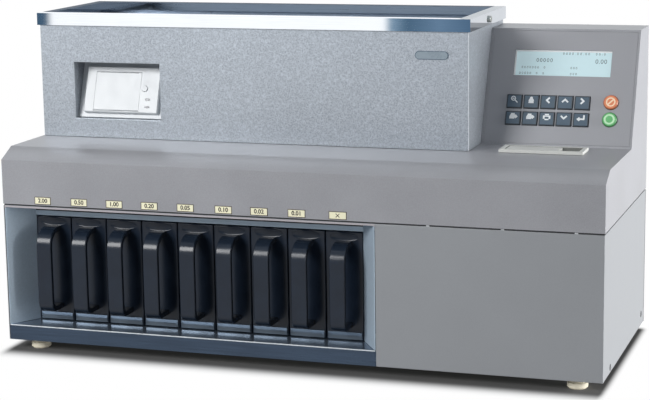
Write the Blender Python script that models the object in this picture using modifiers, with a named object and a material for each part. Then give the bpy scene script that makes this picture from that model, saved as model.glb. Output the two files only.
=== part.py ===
"""Coin counter and sorter with a bulk hopper, an inclined key console, a panel printer and nine coin boxes.

Metres, +Z up. X runs along the front from left to right, and the front faces -Y. The origin is on the
floor, under the middle of the whole machine.
"""

import math

import bmesh
import bpy
from mathutils import Matrix, Vector

# Whole machine
BODY_WIDTH = 0.810
BODY_DEPTH = 0.320
SHEET = 0.0015
GAP = 0.0003
OVERRUN = 0.004

# Feet
FOOT_HEIGHT = 0.014
FOOT_RADIUS = 0.0132
FOOT_NECK_RADIUS = 0.0112
FOOT_PAD_HEIGHT = 0.0080
FOOT_EDGE = 0.0020
FOOT_INSET_X = 0.0360
FOOT_INSET_Y = 0.0240

# Lower body
LOWER_HEIGHT = 0.185
SEAM_GAP = 0.0020
BODY_FLANGE = 0.0120
CABINET_WIDTH = 0.290
SILL_HEIGHT = 0.0206
CHASSIS_LIP = 0.0500
GASKET_WIDTH = 0.0090
GASKET_INSET = 0.0012

# Drawer bay and coin boxes
BOX_COUNT = 9
BOX_SPACING = 0.0016
BOX_LENGTH = 0.2450
BOX_HEIGHT = 0.1435
BOX_WALL = 0.0020
BOX_ROUND = 0.0010
BAY_RECESS = 0.0406
BAY_CHEEK = 0.0278
BAY_STEEL = 0.0012
BAY_TOP_FLANGE = 0.0025
BAY_CEILING_DROP = 0.0070
BAY_HEADER = 0.0098
BAY_FLOOR_MARGIN = 0.0100

# Grip handle on each coin box
HANDLE_WIDTH = 0.0204
HANDLE_OFFSET = 0.0008
HANDLE_REACH = 0.0356
HANDLE_THICKNESS = 0.0070
HANDLE_BOTTOM = 0.0178
HANDLE_HEIGHT = 0.1140
HANDLE_TOP_RADIUS = 0.0240
HANDLE_BOTTOM_RADIUS = 0.0140
HANDLE_ROUND = 0.0015

# Sorting deck above the boxes
DECK_CLEARANCE = 0.0030
DECK_THICKNESS = 0.0020
DECK_FLANGE = 0.0120
DECK_MARGIN = 0.0060
SLOT_MARGIN = 0.0070
SLOT_DEPTH = 0.0300
SLOT_SETBACK = 0.1050
RAIL_HEIGHT = 0.0080
RAIL_DEPTH = 0.0060

# Sorting disc and its motor
DISC_RADIUS = 0.0850
DISC_THICKNESS = 0.0040
DISC_RIM_HEIGHT = 0.0030
DISC_RIM_WIDTH = 0.0040
DISC_LIFT = 0.0060
DISC_SETBACK = 0.1950
DISC_FROM_CABINET = 0.0550
SHAFT_RADIUS = 0.0050
SHAFT_REACH = 0.0220
MOTOR_RADIUS = 0.0300
MOTOR_LENGTH = 0.0900
MOTOR_FLANGE = 0.0760
MOTOR_FLANGE_THICKNESS = 0.0040

# Power supply
SUPPLY_WIDTH = 0.1100
SUPPLY_DEPTH = 0.0950
SUPPLY_HEIGHT = 0.0420
SUPPLY_FROM_RIGHT = 0.0200
SUPPLY_SETBACK = 0.1100
SUPPLY_ROUND = 0.0020

# Power inlet and its switch on the back
INLET_WIDTH = 0.0620
INLET_HEIGHT = 0.0300
INLET_FLANGE = 0.0025
INLET_BODY_INSET = 0.0040
INLET_DEPTH = 0.0240
INLET_FROM_RIGHT = 0.1000
INLET_ABOVE_BASE = 0.0600
PLUG_WIDTH = 0.0250
PLUG_HEIGHT = 0.0175
PLUG_DEPTH = 0.0170
PLUG_OFFSET = 0.0130
ROCKER_WIDTH = 0.0130
ROCKER_HEIGHT = 0.0200
ROCKER_OFFSET = 0.0170
ROCKER_THICKNESS = 0.0050
ROCKER_TILT = math.radians(7.0)
ROCKER_CLEARANCE = 0.0012
ROCKER_PROUD = 0.0008

# Lid hinge along the back of the seam
PIN_RADIUS = 0.0015
PIN_CLEARANCE = 0.0003
KNUCKLE_RADIUS = 0.0035
KNUCKLE_LENGTH = 0.0600
KNUCKLE_SPACING = 0.0006
HINGE_PAIRS = 3
HINGE_SPREAD = 0.2600
LEAF_SETOFF = 0.0014
LEAF_THICKNESS = 0.0016

# Upper cover
FRONT_BAND = 0.0593
LIP_RISE = 0.0145
LIP_RUN = 0.0300
CONSOLE_WIDTH = 0.1995
CONSOLE_SETBACK = 0.1890
CONSOLE_RUN = 0.0650
CONSOLE_RISE = 0.1479
CONSOLE_PLATE = 0.0020
CONSOLE_FRAME = 0.0030

# Hopper on top of the cover
HOPPER_SETBACK = 0.1238
HOPPER_SIDE_INSET = 0.0030
HOPPER_SEAT = 0.0080
HOPPER_HEIGHT = 0.1710
RIM_HEIGHT = 0.0165
RIM_OVERHANG = 0.0030
RIM_WIDTH = 0.0160
RIM_STEEL = 0.0012
RIM_INNER_HEIGHT = 0.0110
LINER_STEEL = 0.0012
LINER_BAND = 0.0160
THROAT_WIDTH = 0.0800
THROAT_DEPTH = 0.0900
THROAT_SETBACK = 0.1500
THROAT_MARGIN = 0.0120
THROAT_RISE = 0.0250
THROAT_CLEARANCE = 0.0050
DISC_CLEARANCE = 0.0050

# Printer in its niche in the hopper's front
NICHE_MARGIN = 0.0492
NICHE_WIDTH = 0.1276
NICHE_SILL = 0.0265
NICHE_HEIGHT = 0.0775
NICHE_BOTTOM_DEPTH = 0.0100
NICHE_TOP_DEPTH = 0.0370
PRINTER_WIDTH = 0.1110
PRINTER_HEIGHT = 0.0650
PRINTER_ABOVE_SILL = 0.0060
PRINTER_OFFSET = 0.0008
PRINTER_FLANGE = 0.0015
PRINTER_BEZEL = 0.0080
PRINTER_ROUND = 0.0015
PRINTER_BODY_INSET = 0.0050
PRINTER_BODY_DEPTH = 0.0380
DOOR_WIDTH = 0.0670
DOOR_HEIGHT = 0.0540
DOOR_THICKNESS = 0.0030
DOOR_FROM_LEFT = 0.0150
DOOR_ABOVE_EDGE = 0.0030
DOOR_CLEARANCE = 0.0004
DOOR_SEAT = 0.0030
PAPER_WELL_DEPTH = 0.0300
FEED_BUTTON_RADIUS = 0.0042
FEED_BUTTON_FROM_RIGHT = 0.0218
FEED_BUTTON_UP = 0.0347
FEED_BUTTON_PROUD = 0.0012
FEED_BUTTON_STEM = 0.0050
FEED_BUTTON_TRAVEL = 0.0008
FEED_BUTTON_ROUND = 0.0004

# Display in the console
SCREEN_WIDTH = 0.1290
SCREEN_HEIGHT = 0.0352
SCREEN_FROM_RIGHT = 0.1000
SCREEN_UP = 0.1141
SCREEN_LENS = 0.0012
MODULE_MARGIN = 0.0070
MODULE_DEPTH = 0.0100

# Keys and round buttons in the console
KEY_COLUMNS = 5
KEY_ROWS = 2
KEY_WIDTH = 0.0206
KEY_HEIGHT = 0.0188
KEY_PITCH_X = 0.0226
KEY_PITCH_UP = 0.0229
KEYS_FROM_RIGHT = 0.1143
KEYS_UP = 0.0484
KEY_PROUD = 0.0018
KEY_TRAVEL = 0.0015
KEY_FLANGE = 0.0008
KEY_GRIP = 0.0005
KEY_STEM_WIDTH = 0.0060
KEY_STEM_LENGTH = 0.0020
KEY_ROUND = 0.0008
BUTTON_RADIUS = 0.0097
BUTTON_PROUD = 0.0030
BUTTON_ROUND = 0.0012
BUTTON_STEM_RADIUS = 0.0030
BUTTONS_FROM_RIGHT = 0.0315
STOP_UP = 0.0618
START_UP = 0.0384

# Control board behind the keys
BOARD_THICKNESS = 0.0016
BOARD_MARGIN = 0.0060
POST_RADIUS = 0.0020

# Lift latch in the ledge in front of the console
LATCH_LENGTH = 0.1094
LATCH_DEPTH = 0.0400
LATCH_FROM_RIGHT = 0.1058
LATCH_SETBACK = 0.1240
LATCH_PROUD = 0.0042
LATCH_RIM = 0.0060
LATCH_POCKET = 0.0120
LATCH_WALL = 0.0015
PADDLE_LENGTH = 0.0682
PADDLE_THICKNESS = 0.0040
PADDLE_CLEARANCE = 0.0006
PADDLE_SINK = 0.0004

# Facets of round shapes
DISC_SIDES = 32
ROUND_SIDES = 20
SMALL_SIDES = 12
ARC_STEPS = 4
MERGE_DISTANCE = 0.00002
BEVEL_ANGLE = math.radians(40)
SMOOTH_ANGLE = math.radians(35)

# Places worked out from the sizes above
HINGE_SETOFF = KNUCKLE_RADIUS + GAP
LEFT = -BODY_WIDTH / 2
RIGHT = BODY_WIDTH / 2
FRONT = -(BODY_DEPTH + HINGE_SETOFF + KNUCKLE_RADIUS) / 2
REAR = FRONT + BODY_DEPTH
BASE = FOOT_HEIGHT
LOWER_TOP = BASE + LOWER_HEIGHT
COVER_BOTTOM = LOWER_TOP + SEAM_GAP
HINGE_Y = REAR + HINGE_SETOFF
HINGE_Z = LOWER_TOP + SEAM_GAP / 2
INNER_REAR = REAR - SHEET - GAP
CABINET_LEFT = RIGHT - CABINET_WIDTH
SILL_TOP = BASE + SILL_HEIGHT
BAY_LEFT = LEFT + SHEET + GAP
BAY_RIGHT = CABINET_LEFT - GAP
BAY_CENTRE = (LEFT + CABINET_LEFT) / 2
BAY_OPENING = BODY_WIDTH - CABINET_WIDTH - 2 * BAY_CHEEK
BOX_PITCH = BAY_OPENING / BOX_COUNT
BOX_FRONT = FRONT + BAY_RECESS
BOX_WIDTH = BOX_PITCH - BOX_SPACING
BOX_BOTTOM = SILL_TOP + GAP
CHASSIS_TOP = SILL_TOP - BAY_STEEL - GAP
DECK_BOTTOM = BOX_BOTTOM + BOX_HEIGHT + DECK_CLEARANCE
DECK_TOP = DECK_BOTTOM + DECK_THICKNESS
DISC_X = CABINET_LEFT + DISC_FROM_CABINET
DISC_Y = FRONT + DISC_SETBACK
DISC_BOTTOM = DECK_TOP + DISC_LIFT
DISC_TOP = DISC_BOTTOM + DISC_THICKNESS + DISC_RIM_HEIGHT
LEDGE = COVER_BOTTOM + FRONT_BAND + LIP_RISE
CONSOLE_LEFT = RIGHT - CONSOLE_WIDTH
CONSOLE_FOOT = FRONT + CONSOLE_SETBACK
CONSOLE_TILT = math.atan2(CONSOLE_RUN, CONSOLE_RISE)
CONSOLE_SLOPE = math.hypot(CONSOLE_RUN, CONSOLE_RISE)
HOPPER_LEFT = LEFT + HOPPER_SIDE_INSET
HOPPER_RIGHT = CONSOLE_LEFT - GAP
HOPPER_FRONT = FRONT + HOPPER_SETBACK
HOPPER_BOTTOM = LEDGE + GAP
RIM_TOP = LEDGE + HOPPER_HEIGHT
HOPPER_TOP = RIM_TOP - RIM_STEEL - GAP
THROAT_RIGHT = HOPPER_RIGHT - THROAT_MARGIN
THROAT_FRONT = FRONT + THROAT_SETBACK
NICHE_LEFT = HOPPER_LEFT + NICHE_MARGIN
NICHE_BOTTOM = LEDGE + NICHE_SILL
NICHE_TILT = math.atan2(NICHE_TOP_DEPTH - NICHE_BOTTOM_DEPTH, NICHE_HEIGHT)
NICHE_SLOPE = math.hypot(NICHE_TOP_DEPTH - NICHE_BOTTOM_DEPTH, NICHE_HEIGHT)
KEY_BACK = CONSOLE_PLATE + GAP + KEY_FLANGE + KEY_STEM_LENGTH
BOARD_FRONT = KEY_BACK + KEY_TRAVEL + GAP
LATCH_LEFT = RIGHT - LATCH_FROM_RIGHT - LATCH_LENGTH / 2
LATCH_FRONT = FRONT + LATCH_SETBACK
LATCH_TOP = LEDGE + GAP + LATCH_PROUD


# Helpers

def clear_scene():
    for item in list(bpy.data.objects):
        bpy.data.objects.remove(item)


def make_collection(name):
    made = bpy.data.collections.new(name)
    bpy.context.scene.collection.children.link(made)
    return made


def make_material(name, colour, roughness, metallic=0.0):
    made = bpy.data.materials.new(name)
    made.use_nodes = True
    shader = made.node_tree.nodes["Principled BSDF"]
    shader.inputs["Base Color"].default_value = (*colour, 1.0)
    shader.inputs["Roughness"].default_value = roughness
    shader.inputs["Metallic"].default_value = metallic
    return made


def move_to(item, collection):
    for holder in list(item.users_collection):
        holder.objects.unlink(item)
    collection.objects.link(item)


def finish_piece(item, material, smooth=False):
    """Puts a finished piece in the machine's collection with its material."""
    move_to(item, PARTS)
    item.data.materials.clear()
    item.data.materials.append(material)
    if smooth:
        item.data.shade_smooth()
        item.data.set_sharp_from_angle(angle=SMOOTH_ANGLE)
    return item


def as_tool(item):
    """Makes an object a cutter or a guide, which isn't part of the machine."""
    move_to(item, TOOLS)
    item.hide_render = True
    item.display_type = "WIRE"
    return item


def make_box(name, low, high, parent=None, rounded=0.0):
    """A box between two corners, given in its parent's frame."""
    low = Vector(low)
    high = Vector(high)
    bpy.ops.mesh.primitive_cube_add(size=1)
    item = bpy.context.object
    item.name = name
    item.data.transform(Matrix.Diagonal((*(high - low), 1)))
    item.location = (low + high) / 2
    item.parent = parent
    if rounded:
        add_bevel(item, rounded)
    return item


def make_bar(name, radius, low, high, parent=None, sides=ROUND_SIDES):
    """A round bar from one point to another, given in its parent's frame."""
    low = Vector(low)
    high = Vector(high)
    bpy.ops.mesh.primitive_cylinder_add(vertices=sides, radius=radius, depth=(high - low).length)
    item = bpy.context.object
    item.name = name
    turn = Vector((0, 0, 1)).rotation_difference((high - low).normalized())
    item.data.transform(turn.to_matrix().to_4x4())
    item.location = (low + high) / 2
    item.parent = parent
    return item


def make_prism(name, outline, low, high, along="X"):
    """A flat outline drawn as a 2D curve and extruded along an axis. It is in (Y, Z), (X, Z) or (X, Y)."""
    curve = bpy.data.curves.new(name, "CURVE")
    curve.dimensions = "2D"
    curve.fill_mode = "BOTH"
    curve.extrude = (high - low) / 2
    spline = curve.splines.new("POLY")
    spline.points.add(len(outline) - 1)
    for point, (u, v) in zip(spline.points, outline):
        point.co = (u, v, 0, 1)
    spline.use_cyclic_u = True
    drawn = bpy.data.objects.new(name + "_outline", curve)
    bpy.context.scene.collection.objects.link(drawn)
    item = mesh_of(name, drawn)
    turns = {
        "X": Matrix(((0, 0, 1, 0), (1, 0, 0, 0), (0, 1, 0, 0), (0, 0, 0, 1))),
        "Y": Matrix(((1, 0, 0, 0), (0, 0, -1, 0), (0, 1, 0, 0), (0, 0, 0, 1))),
        "Z": Matrix.Identity(4),
    }
    item.data.transform(turns[along])
    item.location["XYZ".index(along)] = (low + high) / 2
    return item


def mesh_of(name, source):
    """A mesh object with the evaluated shape of a curve object, which is removed."""
    bpy.context.view_layer.update()
    mesh = bpy.data.meshes.new_from_object(source.evaluated_get(bpy.context.evaluated_depsgraph_get()))
    shape = bmesh.new()
    shape.from_mesh(mesh)
    bmesh.ops.remove_doubles(shape, verts=shape.verts, dist=MERGE_DISTANCE)
    bmesh.ops.recalc_face_normals(shape, faces=shape.faces)
    shape.to_mesh(mesh)
    shape.free()
    item = bpy.data.objects.new(name, mesh)
    item.matrix_world = source.matrix_world.copy()
    bpy.context.scene.collection.objects.link(item)
    bpy.data.objects.remove(source)
    return item


def make_loft(name, rings, parent=None):
    """A solid through unlike four-cornered sections, which are lists of points."""
    shape = bmesh.new()
    loops = [[shape.verts.new(point) for point in ring] for ring in rings]
    for lower, upper in zip(loops, loops[1:]):
        for i in range(len(lower)):
            j = (i + 1) % len(lower)
            shape.faces.new((lower[i], lower[j], upper[j], upper[i]))
    shape.faces.new(loops[0])
    shape.faces.new(loops[-1])
    bmesh.ops.recalc_face_normals(shape, faces=shape.faces)
    mesh = bpy.data.meshes.new(name)
    shape.to_mesh(mesh)
    shape.free()
    item = bpy.data.objects.new(name, mesh)
    bpy.context.scene.collection.objects.link(item)
    item.parent = parent
    return item


def level_ring(z, low_x, high_x, low_y, high_y):
    return [(low_x, low_y, z), (high_x, low_y, z), (high_x, high_y, z), (low_x, high_y, z)]


def make_turned(name, profile, sides=ROUND_SIDES, parent=None, location=(0, 0, 0)):
    """A turned solid. Its profile is (radius, height) pairs, from its top down to its bottom."""
    shape = bmesh.new()
    verts = [shape.verts.new((radius, 0, height)) for radius, height in profile]
    for pair in zip(verts, verts[1:]):
        shape.edges.new(pair)
    mesh = bpy.data.meshes.new(name)
    shape.to_mesh(mesh)
    shape.free()
    item = bpy.data.objects.new(name, mesh)
    bpy.context.scene.collection.objects.link(item)
    item.location = location
    item.parent = parent
    screw = item.modifiers.new("turned", "SCREW")
    screw.steps = sides
    screw.render_steps = sides
    screw.use_merge_vertices = True
    screw.merge_threshold = MERGE_DISTANCE
    return item


def add_bevel(item, width):
    bevel = item.modifiers.new("rounded edges", "BEVEL")
    bevel.width = width
    bevel.segments = 1
    bevel.limit_method = "ANGLE"
    bevel.angle_limit = BEVEL_ANGLE


def combine(item, tools, operation):
    for tool in tools:
        boolean = item.modifiers.new(operation.lower(), "BOOLEAN")
        boolean.operation = operation
        boolean.solver = "EXACT"
        boolean.object = as_tool(tool)
    return item


def cut(item, *tools):
    return combine(item, tools, "DIFFERENCE")


def join(item, *tools):
    return combine(item, tools, "UNION")


def arc(centre_u, centre_v, radius, start, stop, steps=ARC_STEPS):
    """Points of an arc, with its angles in degrees."""
    angles = [math.radians(start + (stop - start) * i / steps) for i in range(steps + 1)]
    return [(centre_u + radius * math.cos(a), centre_v + radius * math.sin(a)) for a in angles]


def moved_corner(before, after, here, distance):
    """A corner between two directions, moved to their left with a mitre."""
    first = before.normalized()
    second = after.normalized()
    across = Vector((-first.y - second.y, first.x + second.x))
    return tuple(here + across * distance / (1 + first.dot(second)))


def inset(outline, distance):
    """A counterclockwise outline moved inwards by a distance."""
    points = [Vector(point) for point in outline]
    count = len(points)
    return [
        moved_corner(points[i] - points[i - 1], points[(i + 1) % count] - points[i], points[i], distance)
        for i in range(count)
    ]


def strip(path, thickness):
    """The outline of a folded sheet, which lies on the left of its path."""
    points = [Vector(point) for point in path]
    last = len(points) - 1
    far_side = []
    for i, here in enumerate(points):
        before = points[max(i, 1)] - points[max(i, 1) - 1]
        after = points[min(i + 1, last)] - points[min(i + 1, last) - 1]
        far_side.append(moved_corner(before, after, here, thickness))
    return list(path) + far_side[::-1]


def make_empty(name, location, turn_x=0.0, parent=None):
    item = bpy.data.objects.new(name, None)
    item.location = location
    item.rotation_euler = (turn_x, 0, 0)
    item.parent = parent
    bpy.context.scene.collection.objects.link(item)
    bpy.context.view_layer.update()
    return item


def hang_on(item, empty):
    """Parents a piece to an empty and leaves it in its place."""
    bpy.context.view_layer.update()
    place = item.matrix_world.copy()
    item.parent = empty
    item.matrix_world = place
    return item


clear_scene()
PARTS = make_collection("coin_counter")
TOOLS = make_collection("cutters")

SHEET_GREY = make_material("hammered grey paint", (0.36, 0.37, 0.39), 0.45)
PALE_GREY = make_material("pale grey paint", (0.62, 0.63, 0.66), 0.45)
HOPPER_GREY = make_material("silver hammered paint", (0.42, 0.43, 0.46), 0.40)
STEEL = make_material("polished steel", (0.70, 0.72, 0.75), 0.12, 1.0)
DARK_STEEL = make_material("brushed steel", (0.35, 0.37, 0.40), 0.35, 1.0)
ZINC = make_material("zinc plated steel", (0.55, 0.56, 0.56), 0.40, 1.0)
BLACK_PLASTIC = make_material("glossy black plastic", (0.020, 0.024, 0.034), 0.15)
MATT_BLACK = make_material("matt black plastic", (0.025, 0.025, 0.027), 0.55)
RUBBER = make_material("cream rubber", (0.74, 0.69, 0.56), 0.70)
DARK_RUBBER = make_material("dark rubber", (0.03, 0.03, 0.032), 0.80)
PRINTER_WHITE = make_material("white plastic", (0.78, 0.79, 0.80), 0.40)
LATCH_WHITE = make_material("warm white plastic", (0.60, 0.59, 0.55), 0.45)
KEY_BLUE = make_material("slate blue plastic", (0.075, 0.105, 0.145), 0.45)
ORANGE = make_material("orange plastic", (0.80, 0.16, 0.03), 0.35)
GREEN = make_material("green plastic", (0.05, 0.36, 0.10), 0.35)
DISPLAY = make_material("pale display glass", (0.52, 0.70, 0.73), 0.20)
BOARD_GREEN = make_material("circuit board", (0.03, 0.16, 0.08), 0.50)

LID = make_empty("lid_pivot", (0, HINGE_Y, HINGE_Z))
CONSOLE = make_empty("console_frame", (RIGHT, CONSOLE_FOOT, LEDGE), math.pi / 2 - CONSOLE_TILT)
NICHE = make_empty(
    "niche_frame",
    (NICHE_LEFT + NICHE_WIDTH / 2, HOPPER_FRONT + NICHE_BOTTOM_DEPTH, NICHE_BOTTOM),
    math.pi / 2 - NICHE_TILT,
)


# Lower body

def build_chassis():
    """A folded deck with skirts down to the base and flanges turned in for the feet."""
    front = FRONT + SHEET + GAP
    back = INNER_REAR
    path = [
        (back - CHASSIS_LIP, BASE),
        (back, BASE),
        (back, CHASSIS_TOP),
        (front, CHASSIS_TOP),
        (front, BASE),
        (front + CHASSIS_LIP, BASE),
    ]
    item = make_prism("chassis", strip(path, SHEET), LEFT + SHEET + GAP, RIGHT - SHEET - GAP)
    return finish_piece(item, ZINC)


def build_feet():
    """Four turned rubber feet under the corners of the chassis."""
    top = BASE - GAP
    profile = [
        (0, top),
        (FOOT_NECK_RADIUS, top),
        (FOOT_NECK_RADIUS, FOOT_PAD_HEIGHT),
        (FOOT_RADIUS, FOOT_PAD_HEIGHT),
        (FOOT_RADIUS, FOOT_EDGE),
        (FOOT_RADIUS - FOOT_EDGE, 0),
        (0, 0),
    ]
    for side, x in (("left", LEFT + FOOT_INSET_X), ("right", RIGHT - FOOT_INSET_X)):
        for end, y in (("front", FRONT + FOOT_INSET_Y), ("rear", REAR - FOOT_INSET_Y)):
            foot = make_turned(f"foot_{end}_{side}", profile, location=(x, y, 0))
            finish_piece(foot, RUBBER, smooth=True)


def build_left_panel():
    item = make_box("left_side_panel", (LEFT, FRONT, BASE), (LEFT + SHEET, INNER_REAR, LOWER_TOP))
    flange = make_box(
        "left_top_flange",
        (LEFT, FRONT + BODY_FLANGE + GAP, LOWER_TOP - SHEET),
        (LEFT + BODY_FLANGE, INNER_REAR, LOWER_TOP),
    )
    return finish_piece(join(item, flange), SHEET_GREY)


def build_right_cover():
    """The cabinet's front and the right side, folded from one sheet, with flanges under the seam."""
    path = [(CABINET_LEFT, FRONT), (RIGHT, FRONT), (RIGHT, INNER_REAR)]
    item = make_prism("right_cover", strip(path, SHEET), BASE, LOWER_TOP, "Z")
    front_flange = make_box(
        "cabinet_top_flange",
        (CABINET_LEFT, FRONT, LOWER_TOP - SHEET),
        (RIGHT, FRONT + BODY_FLANGE, LOWER_TOP),
    )
    side_flange = make_box(
        "right_top_flange",
        (RIGHT - BODY_FLANGE, FRONT, LOWER_TOP - SHEET),
        (RIGHT, INNER_REAR, LOWER_TOP),
    )
    return finish_piece(join(item, front_flange, side_flange), SHEET_GREY)


def hinge_knuckles(upper):
    """Cylinders and leaves of one half of the lid hinge, as tools to join to a panel."""
    tools = []
    low = HINGE_Z + LEAF_SETOFF if upper else HINGE_Z - LEAF_SETOFF - LEAF_THICKNESS
    for pair in range(HINGE_PAIRS):
        middle = (pair - (HINGE_PAIRS - 1) / 2) * HINGE_SPREAD
        start = middle + KNUCKLE_SPACING / 2 if upper else middle - KNUCKLE_SPACING / 2 - KNUCKLE_LENGTH
        end = start + KNUCKLE_LENGTH
        tools.append(make_bar("knuckle", KNUCKLE_RADIUS, (start, HINGE_Y, HINGE_Z), (end, HINGE_Y, HINGE_Z)))
        tools.append(make_box("leaf", (start, REAR - SHEET / 2, low), (end, HINGE_Y, low + LEAF_THICKNESS)))
    return tools


def hinge_bore():
    """The cutter of the pin's hole through every knuckle."""
    reach = HINGE_PAIRS * HINGE_SPREAD / 2
    radius = PIN_RADIUS + PIN_CLEARANCE
    return make_bar("pin_hole", radius, (-reach, HINGE_Y, HINGE_Z), (reach, HINGE_Y, HINGE_Z), sides=SMALL_SIDES)


def inlet_place():
    return Vector((RIGHT - INLET_FROM_RIGHT, REAR, BASE + INLET_ABOVE_BASE))


def build_rear_panel():
    item = make_box("rear_panel", (LEFT, REAR - SHEET, BASE), (RIGHT, REAR, LOWER_TOP))
    flange = make_box(
        "rear_top_flange",
        (LEFT + BODY_FLANGE + GAP, REAR - BODY_FLANGE, LOWER_TOP - SHEET),
        (RIGHT - BODY_FLANGE - GAP, REAR - SHEET / 2, LOWER_TOP),
    )
    join(item, flange, *hinge_knuckles(upper=False))
    place = inlet_place()
    half = Vector((INLET_WIDTH / 2 - INLET_BODY_INSET + GAP, OVERRUN, INLET_HEIGHT / 2 - INLET_BODY_INSET + GAP))
    hole = make_box("inlet_hole", place - half, place + half)
    return finish_piece(cut(item, hole, hinge_bore()), SHEET_GREY)


def build_hinge_pin():
    reach = ((HINGE_PAIRS - 1) * HINGE_SPREAD) / 2 + KNUCKLE_LENGTH + KNUCKLE_SPACING
    item = make_bar(
        "lid_hinge_pin", PIN_RADIUS, (-reach, HINGE_Y, HINGE_Z), (reach, HINGE_Y, HINGE_Z), sides=SMALL_SIDES
    )
    return finish_piece(item, ZINC, smooth=True)


def build_gasket():
    """A flat frame of rubber on the flanges of the lower body, which the lid closes on."""
    low = Vector((LEFT + GASKET_INSET, FRONT + GASKET_INSET, LOWER_TOP + GAP))
    high = Vector((RIGHT - GASKET_INSET, REAR - GASKET_INSET, COVER_BOTTOM - GAP))
    item = make_box("seam_gasket", low, high)
    across = Vector((GASKET_WIDTH, GASKET_WIDTH, -OVERRUN))
    return finish_piece(cut(item, make_box("gasket_opening", low + across, high - across)), DARK_RUBBER)


def flare_ring(y, steel=0.0):
    """The bay's flared opening at a depth, widened by the steel's thickness for its outer side."""
    share = (y - FRONT) / BAY_RECESS
    left = BAY_LEFT + BAY_STEEL + (BAY_CENTRE - BAY_OPENING / 2 - BAY_LEFT - BAY_STEEL) * share - steel
    right = BAY_RIGHT - BAY_STEEL - (BAY_RIGHT - BAY_STEEL - BAY_CENTRE - BAY_OPENING / 2) * share + steel
    top = LOWER_TOP - BAY_TOP_FLANGE - BAY_CEILING_DROP * share + steel
    bottom = SILL_TOP - steel
    return [(left, y, bottom), (right, y, bottom), (right, y, top), (left, y, top)]


def build_bay_surround():
    """The polished steel recess round the boxes: sill, floor, flared cheeks, ceiling and header."""
    behind = BOX_FRONT + BAY_STEEL
    item = make_loft("bay_surround", [flare_ring(FRONT, BAY_STEEL), flare_ring(behind, BAY_STEEL)])
    sill = make_box("sill", (BAY_LEFT, FRONT, BASE), (BAY_RIGHT, FRONT + BAY_STEEL, SILL_TOP))
    top_front = make_box(
        "top_front",
        (BAY_LEFT, FRONT, LOWER_TOP - BAY_TOP_FLANGE - BAY_STEEL),
        (BAY_RIGHT, FRONT + BAY_STEEL, LOWER_TOP),
    )
    top_flange = make_box(
        "top_flange",
        (BAY_LEFT, FRONT, LOWER_TOP - BAY_STEEL),
        (BAY_RIGHT, FRONT + BODY_FLANGE, LOWER_TOP),
    )
    left = BAY_CENTRE - BAY_OPENING / 2
    right = BAY_CENTRE + BAY_OPENING / 2
    floor = make_box(
        "floor",
        (left - BAY_STEEL, BOX_FRONT, SILL_TOP - BAY_STEEL),
        (right + BAY_STEEL, BOX_FRONT + BOX_LENGTH + BAY_FLOOR_MARGIN, SILL_TOP),
    )
    hollow = make_loft("flare", [flare_ring(FRONT - OVERRUN), flare_ring(BOX_FRONT)])
    header_bottom = LOWER_TOP - BAY_TOP_FLANGE - BAY_CEILING_DROP - BAY_HEADER
    mouth = make_box(
        "mouth", (left, BOX_FRONT - OVERRUN, SILL_TOP), (right, behind + OVERRUN, header_bottom)
    )
    join(item, sill, top_front, top_flange, floor)
    return finish_piece(cut(item, hollow, mouth), STEEL)


# Coin boxes

def box_left(index):
    return BAY_CENTRE - BAY_OPENING / 2 + index * BOX_PITCH + BOX_SPACING / 2


def build_coin_box(index):
    low = Vector((box_left(index), BOX_FRONT, BOX_BOTTOM))
    high = low + Vector((BOX_WIDTH, BOX_LENGTH, BOX_HEIGHT))
    item = make_box(f"coin_box_{index + 1}", low, high, rounded=BOX_ROUND)
    wall = Vector((BOX_WALL, BOX_WALL, BOX_WALL))
    inside = make_box("box_inside", low + wall, high - wall + Vector((0, 0, BOX_WALL + OVERRUN)))
    return finish_piece(cut(item, inside), BLACK_PLASTIC)


def build_handle(index):
    """A flat bar bent into a grip, with a large bend at its top and a small one at its bottom."""
    back = BOX_FRONT - GAP
    front = back - HANDLE_REACH
    bottom = BOX_BOTTOM + HANDLE_BOTTOM
    top = bottom + HANDLE_HEIGHT
    path = [(back, top)]
    path += arc(front + HANDLE_TOP_RADIUS, top - HANDLE_TOP_RADIUS, HANDLE_TOP_RADIUS, 90, 180)
    path += arc(front + HANDLE_BOTTOM_RADIUS, bottom + HANDLE_BOTTOM_RADIUS, HANDLE_BOTTOM_RADIUS, 180, 270)
    path += [(back, bottom)]
    middle = box_left(index) + BOX_WIDTH / 2
    item = make_prism(
        f"box_handle_{index + 1}",
        strip(path, HANDLE_THICKNESS),
        middle + HANDLE_OFFSET - HANDLE_WIDTH / 2,
        middle + HANDLE_OFFSET + HANDLE_WIDTH / 2,
    )
    add_bevel(item, HANDLE_ROUND)
    return finish_piece(item, BLACK_PLASTIC, smooth=True)


# Sorting mechanism

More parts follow.
